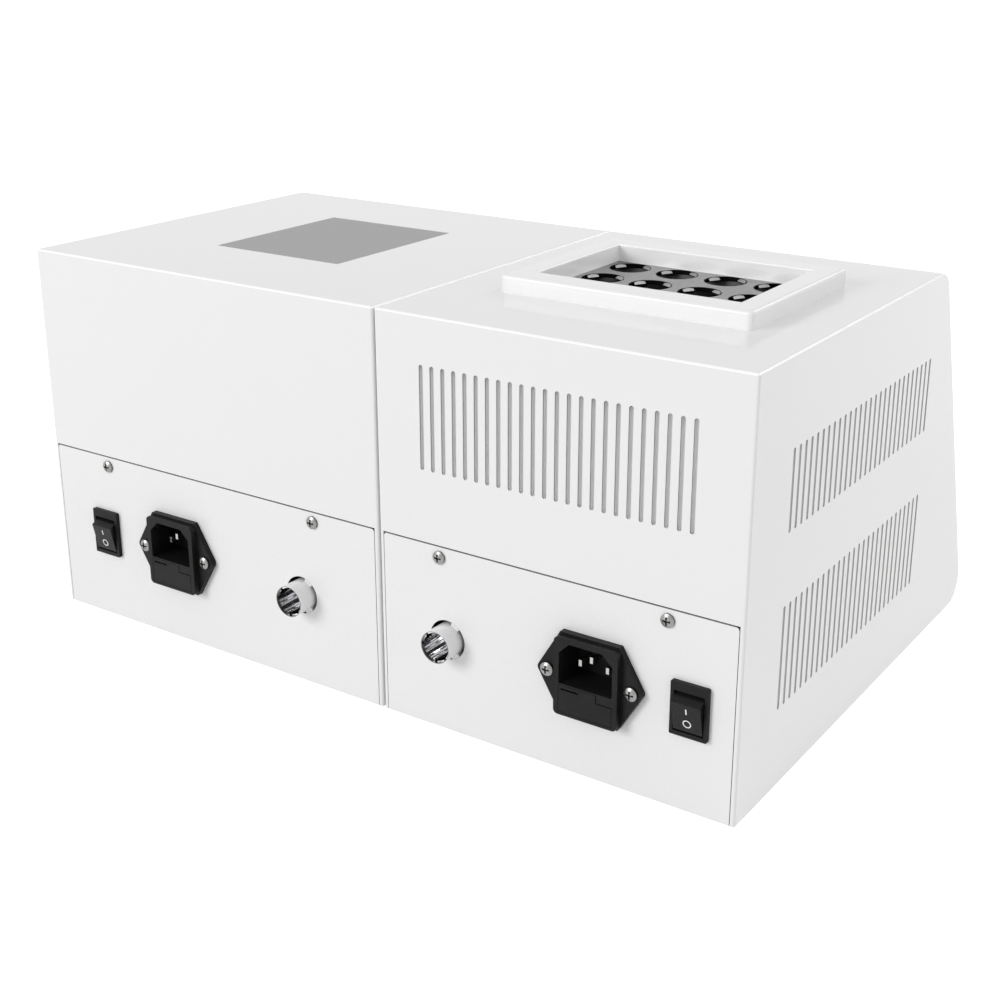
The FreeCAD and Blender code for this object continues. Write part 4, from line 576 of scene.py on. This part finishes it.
def mark_rocker(unit):
    """The stroke and the ring on the lower face of a rocker, seen from behind."""
    low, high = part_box(unit + "_rocker")
    points = [vertex.co for vertex in NODES[unit + "_rocker"].data.vertices]
    ridge = max(points, key=lambda point: point.y)
    toe = max((point for point in points if point.z < low.z + TOE_REACH), key=lambda point: point.y)
    slope = Vector((0, ridge.y - toe.y, ridge.z - toe.z)).normalized()
    outward = Vector((0, slope.z, -slope.y))
    across = slope.cross(outward)
    middle = (low.x + high.x) / 2
    turn = Matrix((across, slope, outward)).transposed().to_4x4()
    length = math.hypot(ridge.y - toe.y, ridge.z - toe.z)
    for name, mesh, share in (("stroke", bar_mark(STROKE_WIDTH, STROKE_LENGTH, MARK_HEIGHT), STROKE_PLACE),
                              ("ring", ring_mark(RING_OUTER, RING_INNER, MARK_HEIGHT), RING_PLACE)):
        spot = Vector((middle, toe.y, toe.z)) + slope * (share * length) + outward * MARK_LIFT
        mesh.transform(Matrix.Translation(spot) @ turn)
        piece = mesh_piece(f"{unit}_{name}_mark", mesh, MARK, unit + "_rocker_body")


# Room, lamps and camera

FLOOR_HALF = 6.0
FLOOR_GLOW = 0.72
ROOM_LIGHT = 0.55
WHITE_LIGHT = (1.0, 1.0, 1.0, 1.0)

LAMPS = (
    {"name": "key", "spot": (2.25, 4.1, 2.0), "target": (0.0, 0.1, 0.1), "size": 2.2, "power": 116.0},
    {"name": "fill", "spot": (-2.5, 0.26, 0.9), "target": (-0.1, 0.0, 0.1), "size": 1.4, "power": 7.5},
    {"name": "rim", "spot": (-1.1, -2.3, 1.75), "target": (-0.1, 0.0, 0.15), "size": 1.4, "power": 18.0},
    {"name": "overhead", "spot": (-0.66, -0.54, 1.82), "target": (-0.1, 0.0, 0.19), "size": 0.5,
     "power": 1.0},
)

CAMERA_SPOT = (-0.415002, 0.619065, 0.348017)
CAMERA_YAW = -0.5952277
CAMERA_PITCH = 0.3381013
CAMERA_SENSOR = 36.0
CAMERA_LENS = 55.536
CAMERA_SHIFT_X = -0.0036
CAMERA_SHIFT_Y = -0.0461
CAMERA_NEAREST = 0.01


def seen_by(tree, *rays):
    """1 for the given kinds of ray, 0 for all others."""
    paths = tree.nodes.new("ShaderNodeLightPath")
    return any_of(tree, *(paths.outputs[f"Is {ray} Ray"] for ray in rays))


def white_floor():
    """A pale floor that reads as white to the camera and keeps a soft shadow."""
    mesh = bmesh.new()
    corners = ((-1, -1), (1, -1), (1, 1), (-1, 1))
    mesh.faces.new([mesh.verts.new((x * FLOOR_HALF, y * FLOOR_HALF, 0)) for x, y in corners])
    data = bpy.data.meshes.new("floor")
    mesh.to_mesh(data)
    mesh.free()
    floor = add_object("floor", data)
    material, tree, shader = new_material("floor_white")
    shader.inputs["Base Color"].default_value = (0.8, 0.8, 0.8, 1.0)
    shader.inputs["Roughness"].default_value = 0.9
    shader.inputs["Specular IOR Level"].default_value = 0.0
    glow = spread(tree, seen_by(tree, "Camera", "Glossy"), 0.0, FLOOR_GLOW, start=0.0, end=1.0)
    tree.links.new(glow, shader.inputs["Emission Strength"])
    shader.inputs["Emission Color"].default_value = WHITE_LIGHT
    data.materials.append(material)


def white_room():
    """A room that gives even light and looks white to the camera and in reflections."""
    world = bpy.data.worlds.new("room")
    bpy.context.scene.world = world
    world.use_nodes = True
    tree = world.node_tree
    background = tree.nodes["Background"]
    background.inputs["Color"].default_value = WHITE_LIGHT
    shown = seen_by(tree, "Camera", "Glossy", "Transmission")
    strength = spread(tree, shown, ROOM_LIGHT, 1.0, start=0.0, end=1.0)
    tree.links.new(strength, background.inputs["Strength"])


def soft_lamp(name, spot, target, size, power):
    """A square lamp at a spot, turned to its target."""
    lamp = bpy.data.lights.new(name, "AREA")
    lamp.shape = "SQUARE"
    lamp.size = size
    lamp.energy = power
    holder = add_object(name, lamp)
    holder.location = spot
    holder.rotation_euler = (Vector(target) - Vector(spot)).to_track_quat("-Z", "Y").to_euler()


def add_camera():
    """The photo's viewpoint, solved from the straight edges of the two housings."""
    level = math.cos(CAMERA_PITCH)
    forward = Vector((-math.sin(CAMERA_YAW) * level, -math.cos(CAMERA_YAW) * level, -math.sin(CAMERA_PITCH)))
    right = Vector((-math.cos(CAMERA_YAW), math.sin(CAMERA_YAW), 0))
    up = right.cross(forward)
    camera = bpy.data.cameras.new("camera")
    camera.sensor_width = CAMERA_SENSOR
    camera.lens = CAMERA_LENS
    camera.shift_x = CAMERA_SHIFT_X
    camera.shift_y = CAMERA_SHIFT_Y
    camera.clip_start = CAMERA_NEAREST
    holder = add_object("camera", camera)
    turn = Matrix((right, up, -forward)).transposed().to_4x4()
    holder.matrix_world = Matrix.Translation(CAMERA_SPOT) @ turn
    bpy.context.scene.camera = holder


dress_nodes()
for unit in UNITS:
    mark_rocker(unit)
white_floor()
white_room()
for lamp in LAMPS:
    soft_lamp(**lamp)
add_camera()
bpy.context.scene.view_settings.view_transform = "Standard"
